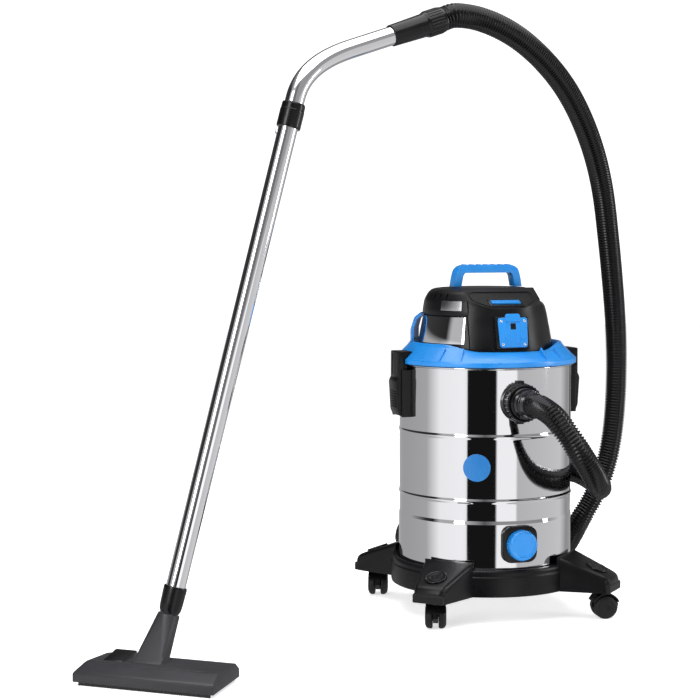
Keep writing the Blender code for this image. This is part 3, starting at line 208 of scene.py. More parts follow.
def facing(point, direction, up=(0, 0, 1)):
    """Local Z along a direction, local Y near up."""
    z = Vector(direction).normalized()
    x = Vector(up).cross(z)
    x = x.normalized() if x.length > 1e-6 else Vector((1, 0, 0))
    return moved(point) @ Matrix((x, z.cross(x), z)).transposed().to_4x4()


def turn_z(angle):
    return Matrix.Rotation(angle, 4, "Z")


def piece(name, bm, finish, body, stands_for=(), smooth=32):
    """Makes a shown piece of a shape and lets it ride on a body of the frame."""
    bm.transform(AT_AXIS)
    mesh = as_mesh(name, bm)
    mesh.validate()
    mesh.materials.append(finish)
    mesh.shade_smooth()
    mesh.set_sharp_from_angle(angle=radians(smooth))
    obj = linked(name, mesh)
    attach(obj, body)
    if stands_for:
        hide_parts(*([stands_for] if isinstance(stands_for, str) else stands_for))
    return obj


# -------- finishes
def tone(hex_code, alpha=1.0):
    """An sRGB hex value as linear colour."""
    parts = [int(hex_code[i:i + 2], 16) / 255 for i in (1, 3, 5)]
    return (*[c / 12.92 if c <= 0.04045 else ((c + 0.055) / 1.055) ** 2.4 for c in parts], alpha)


def add(mat, kind, values=(), links=(), **settings):
    """Adds a node with its settings, input values and links."""
    node = mat.node_tree.nodes.new(kind)
    for key, value in settings.items():
        setattr(node, key, value)
    for key, value in dict(values).items():
        node.inputs[key].default_value = value
    for key, source in dict(links).items():
        mat.node_tree.links.new(source, node.inputs[key])
    return node


def base_finish(name, **values):
    mat = bpy.data.materials.new(name)
    mat.use_nodes = True
    shader = mat.node_tree.nodes["Principled BSDF"]
    for key, value in values.items():
        shader.inputs[key.replace("_", " ")].default_value = value
    return mat, shader


def wire(mat, source, shader, socket):
    mat.node_tree.links.new(source, shader.inputs[socket])


def moulded(name, colour, worn, roughness, grain_mm, depth, coat=0.0, shine=0.5):
    """Injection-moulded plastic: a fine spark-eroded grain, cloudy gloss and slightly paler handled patches."""
    mat, shader = base_finish(name, Metallic=0.0, IOR=1.53, Coat_Weight=coat, Coat_Roughness=0.2,
                              Specular_IOR_Level=shine)
    where = add(mat, "ShaderNodeTexCoord")
    grain = add(mat, "ShaderNodeTexNoise", {"Scale": 1000 / grain_mm, "Detail": 2.0},
                {"Vector": where.outputs["Object"]})
    cloud = add(mat, "ShaderNodeTexNoise", {"Scale": 22.0, "Detail": 4.0}, {"Vector": where.outputs["Object"]})
    gloss = add(mat, "ShaderNodeMapRange", {"From Min": 0.3, "From Max": 0.7, "To Min": roughness - 0.05,
                                            "To Max": roughness + 0.07}, {"Value": cloud.outputs["Fac"]})
    shade = add(mat, "ShaderNodeMixRGB", {"Color1": tone(colour), "Color2": tone(worn)},
                {"Fac": cloud.outputs["Fac"]})
    edge = add(mat, "ShaderNodeBevel", {"Radius": 0.0008}, samples=4)
    bump = add(mat, "ShaderNodeBump", {"Strength": 0.25, "Distance": depth},
               {"Height": grain.outputs["Fac"], "Normal": edge.outputs["Normal"]})
    wire(mat, shade.outputs["Color"], shader, "Base Color")
    wire(mat, gloss.outputs["Result"], shader, "Roughness")
    wire(mat, bump.outputs["Normal"], shader, "Normal")
    return mat


def polished(name, colour, roughness, streak_scale, depth):
    """Polished or plated metal: clean mirror with faint streaks along the work and hazy wiped patches."""
    mat, shader = base_finish(name, Metallic=1.0, Base_Color=tone(colour))
    where = add(mat, "ShaderNodeTexCoord")
    along = add(mat, "ShaderNodeMapping", {"Scale": streak_scale}, {"Vector": where.outputs["Object"]})
    streak = add(mat, "ShaderNodeTexNoise", {"Scale": 1.0, "Detail": 3.0}, {"Vector": along.outputs["Vector"]})
    haze = add(mat, "ShaderNodeTexNoise", {"Scale": 14.0, "Detail": 5.0}, {"Vector": where.outputs["Object"]})
    gloss = add(mat, "ShaderNodeMapRange", {"From Min": 0.35, "From Max": 0.75, "To Min": roughness,
                                            "To Max": roughness + 0.035}, {"Value": haze.outputs["Fac"]})
    bump = add(mat, "ShaderNodeBump", {"Strength": 0.08, "Distance": depth}, {"Height": streak.outputs["Fac"]})
    wire(mat, gloss.outputs["Result"], shader, "Roughness")
    wire(mat, bump.outputs["Normal"], shader, "Normal")
    return mat


# mirror-rolled stainless sheet, wrapped: the rolling lines run round the drum and are barely seen
STAINLESS = polished("stainless_sheet", "#D6D6D8", 0.035, (3.0, 3.0, 260.0), 0.00003)
# bright chrome on drawn steel tube: clearer than the sheet, lines along the tube
CHROME = polished("chrome_plate", "#E4E4E6", 0.045, (260.0, 260.0, 3.0), 0.00002)
# zinc-plated steel for pins, button, fan and motor can: grey and soft
ZINC = polished("zinc_plate", "#A9ABAE", 0.3, (120.0, 120.0, 20.0), 0.0001)
# satin blue ABS of the lid ring, handle, flap, switch and drain knob
BLUE = moulded("blue_abs", "#0D75C4", "#1A84D0", 0.3, 1.4, 0.00008, coat=0.1)
# printed vinyl of the plain round badge
BADGE_BLUE = moulded("badge_vinyl", "#0C62A6", "#1670B4", 0.35, 3.0, 0.00002)
# black ABS of head, base, latches and nozzle: satin with a fine grain
BLACK = moulded("black_abs", "#09090A", "#101012", 0.3, 1.6, 0.00012, shine=0.2)
# the floor nozzle's ABS is a shade greyer and duller from wear
NOZZLE_BLACK = moulded("scuffed_black_abs", "#232326", "#2E2E32", 0.42, 1.6, 0.00012, shine=0.35)
# satin steel foil of the trim strip: blurs what it mirrors
SATIN = polished("satin_steel_foil", "#B8B8BA", 0.24, (200.0, 200.0, 4.0), 0.00004)
# glossier black polypropylene of the hose fittings
FITTING = moulded("black_polypropylene", "#080809", "#0F0F11", 0.22, 2.2, 0.00008, shine=0.26)
# extruded EVA hose: shiny on the ribs
HOSE_SKIN = moulded("hose_eva", "#070708", "#0D0D0F", 0.22, 3.0, 0.00005, shine=0.24)
# moulded nitrile seals and matt wheel treads
RUBBER = moulded("nitrile_rubber", "#0C0C0C", "#131313", 0.55, 1.2, 0.00012, shine=0.3)
# nylon bristles: matt black
BRISTLE = moulded("nylon_bristle", "#0E0E0E", "#1A1A1A", 0.55, 0.9, 0.0002)
# pleated cellulose filter paper: warm white, fibrous
PAPER = moulded("filter_paper", "#D8D2BE", "#C4BCA4", 0.85, 1.1, 0.0002)


# -------- camera
CAMERA_AROUND = radians(-22.43)
CAMERA_FAR = 3.5
CAMERA_HIGH = 0.7458
CAMERA_TILT = 0.0701
CAMERA_YAW = 0.07467
FOCAL_PIXELS_OVER_WIDTH = 1813.05 / 700

outward = Vector((sin(CAMERA_AROUND), -cos(CAMERA_AROUND), 0))
to_right = Vector((cos(CAMERA_AROUND), sin(CAMERA_AROUND), 0))
ahead = (-outward * cos(CAMERA_YAW) - to_right * sin(CAMERA_YAW)) * cos(CAMERA_TILT)
ahead -= Vector((0, 0, sin(CAMERA_TILT)))
camera_data = bpy.data.cameras.new("camera")
camera_data.sensor_width = 36.0
camera_data.lens = 36.0 * FOCAL_PIXELS_OVER_WIDTH
camera_data.clip_start = 0.05
camera = linked("camera", camera_data)
aimed(camera, AXIS + outward * CAMERA_FAR + Vector((0, 0, CAMERA_HIGH)), ahead)
bpy.context.scene.camera = camera


# -------- hose
HOSE_ROUTE = [
    (0.0, -0.262, 0.415), (0.005, -0.29, 0.408), (0.016, -0.314, 0.388),
    (0.032, -0.328, 0.36), (0.052, -0.329, 0.33), (0.076, -0.315, 0.302), (0.101, -0.285, 0.279),
    (0.126, -0.245, 0.263), (0.15, -0.197, 0.254), (0.171, -0.146, 0.25), (0.19, -0.091, 0.249),
    (0.202, -0.035, 0.25), (0.208, 0.023, 0.251), (0.205, 0.083, 0.25), (0.189, 0.141, 0.246),
    (0.157, 0.194, 0.236), (0.112, 0.24, 0.219), (0.062, 0.279, 0.193), (0.018, 0.318, 0.158),
    (-0.01, 0.364, 0.116), (-0.012, 0.417, 0.075), (0.014, 0.467, 0.044), (0.064, 0.501, 0.028),
    (0.126, 0.506, 0.0224), (0.186, 0.484, 0.0222), (0.233, 0.438, 0.0222), (0.262, 0.378, 0.024),
    (0.274, 0.313, 0.03), (0.274, 0.25, 0.046), (0.266, 0.196, 0.074), (0.264, 0.158, 0.105),
    (0.276, 0.143, 0.14), (0.293, 0.135, 0.174), (0.311, 0.129, 0.215), (0.323, 0.124, 0.258),
    (0.33, 0.12, 0.3), (0.334, 0.116, 0.35), (0.335, 0.111, 0.414), (0.332, 0.105, 0.486),
    (0.323, 0.095, 0.56), (0.307, 0.078, 0.64), (0.285, 0.053, 0.722), (0.257, 0.02, 0.804),
    (0.221, -0.018, 0.873), (0.1755, -0.058, 0.937), (0.123, -0.099, 0.992), (0.065, -0.138, 1.036),
    (-0.001, -0.176, 1.073), (-0.067, -0.208, 1.097), (-0.128, -0.232, 1.108)]
CUFF_FROM = Vector((-0.188, -0.2502, 1.0993))
CUFF_TO = Vector((-0.2877, -0.266, 1.0661))
WAND_TOP = Vector((-0.479, -0.307, 0.924))
WAND_LOW = Vector((-0.6965, -0.3435, 0.12))
INTO_CUFF = (CUFF_FROM - CUFF_TO).normalized()
DOWN_WAND = (WAND_LOW - WAND_TOP).normalized()
CONNECTOR_END = 0.0725 - GAP
RIB_PITCH = 0.006                 # one corrugation


def length_of(line):
    return sum((b - a).length for a, b in zip(line, line[1:]))


def smooth_line(points, spacing):
    """Points at an even spacing on a smooth curve through the given ones."""
    pts = [Vector(p) for p in points]
    pts = [2 * pts[0] - pts[1]] + pts + [2 * pts[-1] - pts[-2]]
    dense = []
    for a, b, c, d in zip(pts, pts[1:], pts[2:], pts[3:]):
        for k in range(12):
            t = k / 12
            dense.append(0.5 * ((2 * b) + (c - a) * t + (2 * a - 5 * b + 4 * c - d) * t * t
                                + (3 * b - a - 3 * c + d) * t ** 3))
    dense.append(pts[-2])
    length = length_of(dense)
    count = max(2, round(length / spacing))
    out, walked, want = [dense[0]], 0.0, 1
    for a, b in zip(dense, dense[1:]):
        step = (b - a).length
        while want < count and walked + step >= want * length / count:
            out.append(a.lerp(b, (want * length / count - walked) / step))
            want += 1
        walked += step
    out.append(dense[-1])
    return out


def corrugated_hose():
    mouth = Vector((0, -DRUM_R - CONNECTOR_END - GAP, INLET_Z))
    end = CUFF_FROM + INTO_CUFF * GAP
    coarse = [mouth] + smooth_line(HOSE_ROUTE + [end + INTO_CUFF * 0.025], 0.044) + [end]
    line = [AXIS + p for p in smooth_line(coarse, RIB_PITCH / 4)]
    curve = bpy.data.curves.new("ribbed_hose", "CURVE")
    curve.dimensions = "3D"
    curve.bevel_depth = HOSE_R
    curve.bevel_resolution = 6
    curve.use_fill_caps = True
    spline = curve.splines.new("POLY")
    spline.points.add(len(line) - 1)
    rib = (1.0, 1.0, 0.845, 0.845)
    for i, (point, co) in enumerate(zip(spline.points, line)):
        point.co = (*co, 1.0)
        point.radius = rib[i % 4]
    spline.use_smooth = True
    curve.materials.append(HOSE_SKIN)
    hose = linked("ribbed_hose", curve)
    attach(hose, "chassis")
    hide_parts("hose")
    return hose, line[0], length_of(line)


hose, hose_exit, hose_length = corrugated_hose()


# -------- drum
def drum_shell():
    """Drawn drum with two rolled beads, a step near the foot and a curled top edge."""
    r, low = DRUM_R, DRUM_R + 0.001
    wall = [(0, 0.066), (r - 0.015, 0.066, 0.004), (low, 0.078, 0.006), (low, 0.1855), (low, 0.187, 0.001),
            (r - 0.0005, 0.194, 0.001), (r - 0.0005, 0.1955), (r - 0.0005, 0.224), (r - 0.0005, 0.2255, 0.0008),
            (r + 0.002, 0.23, 0.0022), (r, 0.2345, 0.0008), (r, 0.236), (r, 0.344), (r, 0.3455, 0.0008),
            (r + 0.002, 0.35, 0.0022), (r, 0.3545, 0.0008), (r, 0.356), (r, 0.4735), (r, 0.475, 0.0006),
            (r + 0.0035, 0.4755, 0.0012), (r + 0.0035, 0.4785, 0.0012), (r - 0.0012, 0.4785, 0.0004),
            (r - 0.0012, 0.079, 0.004), (r - 0.016, 0.0672), (0, 0.0672)]
    bores = rod(INLET_BORE, -0.03, 0.03, 48, INLET), rod(DRAIN_BORE, -0.03, 0.03, 48, DRAIN)
    piece("drum_shell", cut(turned(wall, 160), *bores), STAINLESS, "chassis", "drum", smooth=24)
    # a plain round badge where makers put theirs
    towards = Vector((-sin(BADGE_AROUND), -cos(BADGE_AROUND), 0))
    badge = rod(BADGE_R, -0.012, 0.004, 64, facing(towards * DRUM_R + Vector((0, 0, BADGE_Z)), towards))
    skin = turned([(DRUM_R + GAP, 0.25), (DRUM_R + 0.001, 0.25), (DRUM_R + 0.001, 0.34), (DRUM_R + GAP, 0.34)], 160)
    piece("round_badge", tidied(worked(badge, "INTERSECT", skin)), BADGE_BLUE, "chassis")


# -------- dolly base and casters
CASTERS = {"front_left": (225, -112), "front_right": (-45, 172), "rear_left": (135, -112), "rear_right": (45, 60)}
CASTER_RADIUS = 0.2304
WHEEL_R = 0.0232
FOOT_ROOT, FOOT_TIP, FOOT_HIGH = 0.1722, 0.2655, 0.118
FOOT_SLOPE = atan2(FOOT_HIGH - 0.082 - 0.004, 0.258 - FOOT_ROOT)


def foot_top(radius):
    return FOOT_HIGH - tan(FOOT_SLOPE) * (radius - FOOT_ROOT)


def dolly():
    seat = DRUM_R + 0.0022
    ring = [(0.18, 0.054, 0.001), (0.1812, 0.06), (0.1812, 0.0905, 0.001), (0.1796, 0.0925, 0.001),
            (0.1796, 0.0985, 0.001), (0.1778, 0.104, 0.003), (0.17, 0.104, 0.001), (0.1685, 0.1025), (seat, 0.1025),
            (seat, 0.0657), (0.13, 0.0657), (0.13, 0.0612), (0.1662, 0.0612), (0.1662, 0.054)]
    feet = []
    for angle, _ in CASTERS.values():
        side = [(seat + 0.0006, 0.054), (0.262, 0.054, 0.004), (FOOT_TIP, 0.062), (FOOT_TIP, 0.078, 0.006),
                (0.258, foot_top(0.258), 0.006), (FOOT_ROOT, FOOT_HIGH, 0.005), (seat + 0.0006, FOOT_HIGH, 0.001)]
        foot = slab(side, -0.05, 0.05)
        for v in foot.verts:
            v.co.y *= 1.0 - 0.42 * (v.co.x - seat) / (FOOT_TIP - seat)
        rims = [e for e in foot.edges if all(v.co.x > seat + 0.002 and v.co.z > 0.0545 for v in e.verts)
                and abs(sum(v.co.y for v in e.verts)) > 0.02 and e.calc_face_angle(0) > radians(50)]
        bmesh.ops.bevel(foot, geom=rims, offset=0.008, segments=4, affect="EDGES", profile=0.5, material=-1)
        # a shallow ledge round the flanks, where the mould parts
        foot = fused(foot, slab([(seat + 0.0006, 0.0545), (0.265, 0.0545), (0.2666, 0.056), (0.2666, 0.07, 0.002),
                                 (seat + 0.0006, 0.086)], -0.03, 0.03))
        foot.transform(turn_z(radians(angle)))
        feet.append(foot)
    piece("dolly_base_moulding", tidied(fused(turned(ring, 128), *feet)), BLACK, "chassis", "dolly_base", smooth=28)


def foot_disc(name, angle):
    """Round cap over the caster stem: a raised rim, a sunk face and a dimple."""
    face = [(0, GAP), (0.0213, GAP), (0.0213, 0.0026, 0.0006), (0.0203, 0.0034, 0.0005), (0.018, 0.0034, 0.0004),
            (0.0172, 0.0026, 0.0004), (0.012, 0.0024), (0.0114, 0.003, 0.0003), (0.0105, 0.003, 0.0003),
            (0.0098, 0.0024), (0.0032, 0.0024), (0.0022, 0.0012), (0, 0.001)]
    around = radians(angle)
    place = turn_z(around) @ moved((CASTER_RADIUS, 0, foot_top(CASTER_RADIUS))) @ Matrix.Rotation(FOOT_SLOPE, 4, "Y")
    piece("stem_cap_" + name, turned(face, 48, place), FITTING, "chassis", "foot_cap_" + name)


def caster(name, angle, heading):
    around = radians(angle)
    place = moved((CASTER_RADIUS * cos(around), CASTER_RADIUS * sin(around), 0)) @ turn_z(radians(heading))
    axle = -0.014
    hood = WHEEL_R + 0.0035

    def arc(radius, angles):
        return [(axle + radius * cos(a), WHEEL_R + radius * sin(a)) for a in angles]

    over = arc(hood, [pi * k / 16 for k in range(17)])
    web = slab(over + [(axle - 0.012, WHEEL_R - 0.012, 0.003), (axle + 0.012, WHEEL_R - 0.012, 0.003)],
               -0.0047, 0.0047)
    sweep = [radians(22 + 136 * k / 16) for k in range(17)]
    fender = slab(arc(hood, sweep) + arc(WHEEL_R + 0.0012, sweep[::-1]), -0.0185, 0.0185)
    stem = turned([(0, 0.047), (0.0085, 0.047), (0.011, 0.0515, 0.0008), (0.011, 0.0532, 0.0003), (0.005, 0.0532),
                   (0.005, 0.0755, 0.0008), (0, 0.0755)], 32)
    shape = fused(web, fender, stem)
    shape.transform(place)
    piece("twin_caster_hood_" + name, tidied(shape), BLACK, "caster_" + name, "caster_housing_" + name)
    hub = place @ moved((axle, 0, WHEEL_R)) @ STOOD
    inner, outer = 0.0055, 0.0195
    half = [(0, -outer + 0.0012), (0.005, -outer + 0.0012), (0.0056, -outer), (0.016, -outer, 0.0008),
            (0.0205, -outer + 0.0022, 0.0015), (WHEEL_R, -outer + 0.006, 0.0025), (WHEEL_R, -inner - 0.002, 0.0012),
            (0.0212, -inner, 0.0006), (0.0025, -inner)]
    pair = half + [(p[0], -p[1], *p[2:]) for p in reversed(half)]
    piece("twin_wheels_" + name, turned(pair, 48, hub), RUBBER, "wheels_" + name, "caster_wheels_" + name)


# -------- hose inlet and drain
INLET_BORE, DRAIN_BORE = 0.0262, 0.0188
INLET = facing((0, -DRUM_R, INLET_Z), (0, -1, 0))
DRAIN = facing((0, -DRUM_R, DRAIN_Z), (0, -1, 0))


def ribs(count, radius, low, high, width, height, place, ease=0.0):
    """Straight ribs along Z, spaced round a circle."""
    shape = bmesh.new()
    for k in range(count):
        shape = added(shape, box_shape((-width / 2, radius - 0.001, low), (width / 2, radius + height, high),
                                       turn_z(2 * pi * k / count), ease, 1))
    shape.transform(place)
    return shape


def inlet_pieces():
    flange = turned([(INLET_BORE, -0.008), (0.0365, -0.008), (0.0365, 0.0085, 0.001), (0.0345, 0.0112, 0.001),
                     (0.0312, 0.0116), (0.0308, 0.0205, 0.0008), (INLET_BORE, 0.0205, 0.0004)], 72, INLET)
    lugs = [box_shape((-0.007, low, -0.008), (0.007, low + 0.012, 0.0075), INLET, 0.001)
            for low in (0.028, -0.04)]
    flange = cut(fused(flange, *lugs), rod(DRUM_R + GAP, 0.35, 0.48, 128))
    piece("inlet_collar", tidied(flange), FITTING, "chassis", "inlet_flange")
    ring = turned([(0.0313, 0.0119), (0.034, 0.0119, 0.0006), (0.0345, 0.0135), (0.0345, 0.0262),
                   (0.0338, 0.028, 0.0006), (0.0313, 0.028)], 72, INLET)
    ring = added(ring, ribs(28, 0.0342, 0.0135, 0.0265, 0.0034, 0.0012, INLET, 0.0005))
    piece("bayonet_ring", ring, FITTING, "lock_ring", "hose_lock_ring")
    connector = turned([(0.0195, -0.018), (0.0222, -0.018), (0.0222, 0.0208), (0.03, 0.0208, 0.0008),
                        (0.0302, 0.026), (0.0296, 0.0305, 0.0015), (0.0272, 0.0335, 0.0015), (0.0266, 0.048, 0.001),
                        (0.025, 0.05, 0.0008), (0.025, 0.054, 0.0008), (0.0242, 0.0555, 0.0006),
                        (0.0239, 0.07, 0.001), (0.0228, CONNECTOR_END, 0.0006), (0.0195, CONNECTOR_END)], 72, INLET)
    piece("hose_socket", connector, FITTING, "chassis", "hose_connector")


def drain_pieces():
    plate = slab(rectangle(0.034, 0.034, 0.017), -0.0085, 0.01, DRAIN @ STOOD, 0.0012)
    plate = cut(plate, rod(DRUM_R + 0.001 + GAP, 0.09, 0.22, 128))
    spigot = turned([(0.0155, -0.018), (0.0185, -0.018), (0.0185, 0.0205), (0.0155, 0.0205)], 40, DRAIN)
    piece("drain_mount", tidied(fused(plate, spigot)), FITTING, "chassis", "drain_plate")
    screws = [turned([(0, 0.006), (0.003, 0.006), (0.003, 0.0095, 0.0006), (0, 0.01)], 20,
                     DRAIN @ moved((x, y, 0))) for x in (-0.0252, 0.0252) for y in (-0.0252, 0.0252)]
    piece("drain_screws", added(bmesh.new(), *screws), ZINC, "chassis")
    top = 0.0085 + 0.0125 + 0.002 + GAP
    cap = turned([(0, top), (0.0191, top), (0.0191, 0.0091), (0.0272, 0.0091, 0.0006), (0.0276, 0.011),
                  (0.0276, top + 0.001, 0.001), (0.0258, top + 0.0042, 0.0015), (0.0225, top + 0.0046, 0.001),
                  (0.021, top + 0.0034, 0.0008), (0, top + 0.0034)], 96, DRAIN)
    grips = ribs(36, 0.0274, 0.0105, top + 0.0012, 0.0026, 0.001, DRAIN, 0.0006)
    piece("drain_knob", added(cap, grips), BLUE, "drain_cap", "drain_cap")


# -------- latches
PIVOT_X, PIVOT_Z = 0.1765, 0.3853
CLAW_X, CLAW_Z, CLAW_LEAN = 0.158, 0.5012, radians(61)


def latch(name, side):
    turn = turn_z(0 if side > 0 else pi)
    half = 0.022
    wall_in, wall_out = half + 0.0008, half + 0.006
    plan = [(0.158, -wall_out), (0.1805, -wall_out, 0.002), (0.1805, -wall_in, 0.001), (0.17, -wall_in),
            (0.17, wall_in), (0.1805, wall_in, 0.001), (0.1805, wall_out, 0.002), (0.158, wall_out)]
    channel = slab(plan, 0.379, 0.468)
    channel.transform(turn @ STOOD)
    channel = cut(channel, rod(DRUM_R + GAP, 0.36, 0.49, 128))
    piece("latch_channel_" + name, tidied(channel), BLACK, "chassis", "latch_bracket_" + name)
    root_x = 0.1715
    side_view = [(PIVOT_X - 0.0058, PIVOT_Z), (PIVOT_X - 0.0041, PIVOT_Z - 0.0041, 0.001),
                 (PIVOT_X, PIVOT_Z - 0.0058, 0.001), (PIVOT_X + 0.0055, PIVOT_Z - 0.004, 0.001),
                 (0.1865, 0.392, 0.003), (0.1898, 0.447, 0.004), (0.1858, 0.4535, 0.002), (0.1855, 0.5015, 0.001),
                 (0.184, 0.503, 0.0006), (CLAW_X, 0.503, 0.0006), (CLAW_X, CLAW_Z),
                 (root_x, CLAW_Z - tan(CLAW_LEAN) * (root_x - CLAW_X), 0.001), (root_x, PIVOT_Z + 0.006)]
    lever = slab(side_view, -half, half, turn, 0.0009)
    across = [box_shape((0.1835, -half + 0.006, z), (0.1893 + 0.0002 * k, half - 0.006, z + 0.0022), turn, 0.0007)
              for k, z in enumerate([0.3965 + 0.0048 * k for k in range(7)])]
    upright = [box_shape((0.183, y - 0.0012, 0.458), (0.1863, y + 0.0012, 0.499), turn, 0.0006)
               for y in (-0.0135, 0.0, 0.0135)]
    lever = added(lever, *across, *upright)
    piece("over_centre_lever_" + name, lever, BLACK, "latch_" + name, "latch_lever_" + name)


# -------- lid ring
def lid_ring():
    outline = [(0.174, 0.4795, 0.0008), (0.174, 0.4885, 0.0012), (0.171, 0.4905, 0.0015), (0.148, 0.5135, 0.002),
               (0.145, 0.519, 0.0012), (0.1395, 0.519, 0.0012), (0.1385, 0.515), (0.1375, DECK_Z), (0.046, DECK_Z),
               (0.046, 0.5), (0.156, 0.5), (0.156, 0.462), (0.16, 0.462), (0.1605, 0.484),
               (0.1693, 0.484), (0.1693, 0.4795)]
    ring = turned(outline, 160)
    for v in ring.verts:
        r = sqrt(v.co.x ** 2 + v.co.y ** 2)
        if 0.1381 < r < 0.1495 and v.co.z > 0.51:
            off_front = abs(atan2(v.co.x, -v.co.y))
            ease = min(max((off_front - radians(26)) / radians(30), 0.0), 1.0)
            dip = 1.0 - ease * ease * (3 - 2 * ease)
            v.co.z -= dip * (v.co.z - DECK_Z - 0.0012) * 0.92
    # room for the latch claws, which hook over the slope
    slope = tan(CLAW_LEAN)
    shift = 0.0008 / sin(CLAW_LEAN)
    over = [(CLAW_X - 0.03 - shift, CLAW_Z + 0.03 * slope), (0.2, CLAW_Z + 0.03 * slope), (0.2, 0.455),
            (CLAW_X + (CLAW_Z - 0.455) / slope - shift, 0.455)]
    ring = cut(ring, *[slab(over, -0.023, 0.023, turn_z(turn)) for turn in (0, pi)])
    # short raised ribs across the sloping face, in pairs each side of the front
    rib = [(0.15, 0.506), (0.1705, 0.488), (0.1732, 0.4905, 0.001), (0.153, 0.514, 0.001)]
    ring = fused(ring, *[slab(rib, -0.0016, 0.0016, turn_z(radians(-90 + angle)))
                         for angle in (-52, -38, 20, 35, 128, 142, -128, -142)])
    piece("lid_ring_moulding", tidied(ring), BLUE, "head", "lid_ring", smooth=30)


def cord_guard():
    wall = [(0.14, 0.5193), (0.1445, 0.5193), (0.1445, 0.542, 0.003), (0.1375, 0.564, 0.003),
            (0.1255, 0.5735, 0.001), (0.124, 0.57, 0.001), (0.1345, 0.561, 0.003), (0.14, 0.5415, 0.003)]
    piece("cord_guard_moulding", turned(wall, 20, sweep=(radians(100), radians(134))), BLUE, "head", "cord_guard")


# -------- motor head
SHELL_LINE = [(0.1285, DECK_Z + GAP), (0.1285, 0.512), (0.118, 0.57), (0.113, 0.59), (0.104, 0.5975),
              (0.088, 0.6015), (0.085, 0.61), (0.082, 0.619), (0.076, 0.6225)]
PANEL_HALF = 0.0745
PANEL_BACK = -0.0847
SLOPE_LOW, SLOPE_HIGH = (-0.113, 0.5855), (-0.056, 0.6232)
SLANT = atan2(SLOPE_HIGH[1] - SLOPE_LOW[1], SLOPE_HIGH[0] - SLOPE_LOW[0])
SWITCH_Y = -0.0965
SWITCH = facing((0, SWITCH_Y, SLOPE_LOW[1] + tan(SLANT) * (SWITCH_Y - SLOPE_LOW[0])), (0, -sin(SLANT), cos(SLANT)),
                (0, cos(SLANT), sin(SLANT)))
LEAN = atan2(0.0105, 0.058)
SOCKET = facing((0, -0.1262, 0.5405), (0, -cos(LEAN), sin(LEAN)), (0, sin(LEAN), cos(LEAN)))
PORT = facing((0, 0.118, 0.548), (0, 1, 0))
GLAND = facing((0.062, 0.1043, 0.533), (0.062, 0.1043, 0.0))
# an (x, z) outline laid on local X and Y, thick towards local Z
LAID = Matrix.Rotation(-pi / 2, 4, "X")
# an (x, z) outline seen from the side
SIDEWAYS = Matrix(((0, 1, 0, 0), (1, 0, 0, 0), (0, 0, 1, 0), (0, 0, 0, 1)))


def head_cover():
    round_by = (0, 0.003, 0.004, 0.006, 0.006, 0.004, 0.003, 0.004, 0.003)
    outer = [(r, z, k) for (r, z), k in zip(SHELL_LINE, round_by)]
    inner = [(r - 0.003, z) for r, z in SHELL_LINE[:5]] + [(0.0855, 0.5985), (0.082, 0.608), (0.079, 0.6165),
                                                          (0.0745, HEAD_TOP_Z - 0.003)]
    shell = turned([(0, HEAD_TOP_Z)] + outer[::-1] + inner + [(0, HEAD_TOP_Z - 0.003)], 160)
    room = [(-0.2, 0.49), (PANEL_BACK + GAP, 0.49), (PANEL_BACK + GAP, 0.5985),
            (SLOPE_HIGH[0] + 0.003, SLOPE_HIGH[1] - 0.0046), (SLOPE_HIGH[0] + 0.003, 0.7), (-0.2, 0.7)]
    shell = cut(shell, slab(room, -PANEL_HALF - GAP, PANEL_HALF + GAP, SIDEWAYS))
    slots = [box_shape((-0.0018, 0.1, 0.532), (0.0018, 0.14, 0.56), turn_z(radians(-44 + 6 * k))) for k in range(9)]
    shell = cut(shell, rod(0.0218, -0.04, 0.04, 40, PORT), rod(0.0068, -0.04, 0.04, 40, GLAND), *slots)
    piece("head_cover", tidied(shell), BLACK, "head", "head_shell", smooth=30)


def switch_housing():
    env = [(0, DECK_Z + GAP)] + [(r + 0.0025, z, k) for (r, z), k in zip(SHELL_LINE[:4], (0, 0.003, 0.004, 0.004))]
    env += [(0.1155, 0.63), (0, 0.63)]
    (y0, z0), (y1, z1) = SLOPE_LOW, SLOPE_HIGH
    keep = [(-0.2, DECK_Z + GAP), (PANEL_BACK, DECK_Z + GAP), (PANEL_BACK, 0.599), (y1, z1 - 0.004),
            (y1, z1, 0.001), (y0, z0, 0.0045), (-0.2, z0 - 0.001)]
    shape = worked(turned(env, 192), "INTERSECT", slab(keep, -PANEL_HALF, PANEL_HALF, SIDEWAYS, 0.0018, 3))
    hollow = [(-0.11, DECK_Z + 0.0045), (-0.05, DECK_Z + 0.0045), (-0.05, 0.57), (-0.09, 0.57),
              (-0.105, 0.564)]
    shape = cut(shape, slab(hollow, -PANEL_HALF + 0.018, PANEL_HALF - 0.018, SIDEWAYS),
                box_shape((-0.0333, -0.0303, -0.06), (0.0333, 0.0303, 0.03), SOCKET),
                box_shape((-0.0343, -0.0108, -0.0058), (0.0343, 0.0108, 0.02), SWITCH))
    # a raised rim follows the edge of the slanted face, narrower in front
    def shield(inset):
        w, f, low, high = 0.066 - inset, 0.037 - inset * 0.6, -0.014 + inset, 0.035 - inset
        return [(w, high, 0.008), (-w, high, 0.008), (-w, 0.0075, 0.01), (-f, low, 0.006), (f, low, 0.006),
                (w, 0.0075, 0.01)]

    rim = ease_edges(cut(slab(shield(0.0), -0.0017, 0.002), slab(shield(0.0026), -0.003, 0.004)), 0.0005, 1)
    rim.transform(SWITCH @ LAID)
    piece("switch_housing", tidied(added(shape, rim)), BLACK, "head", "front_panel", smooth=30)


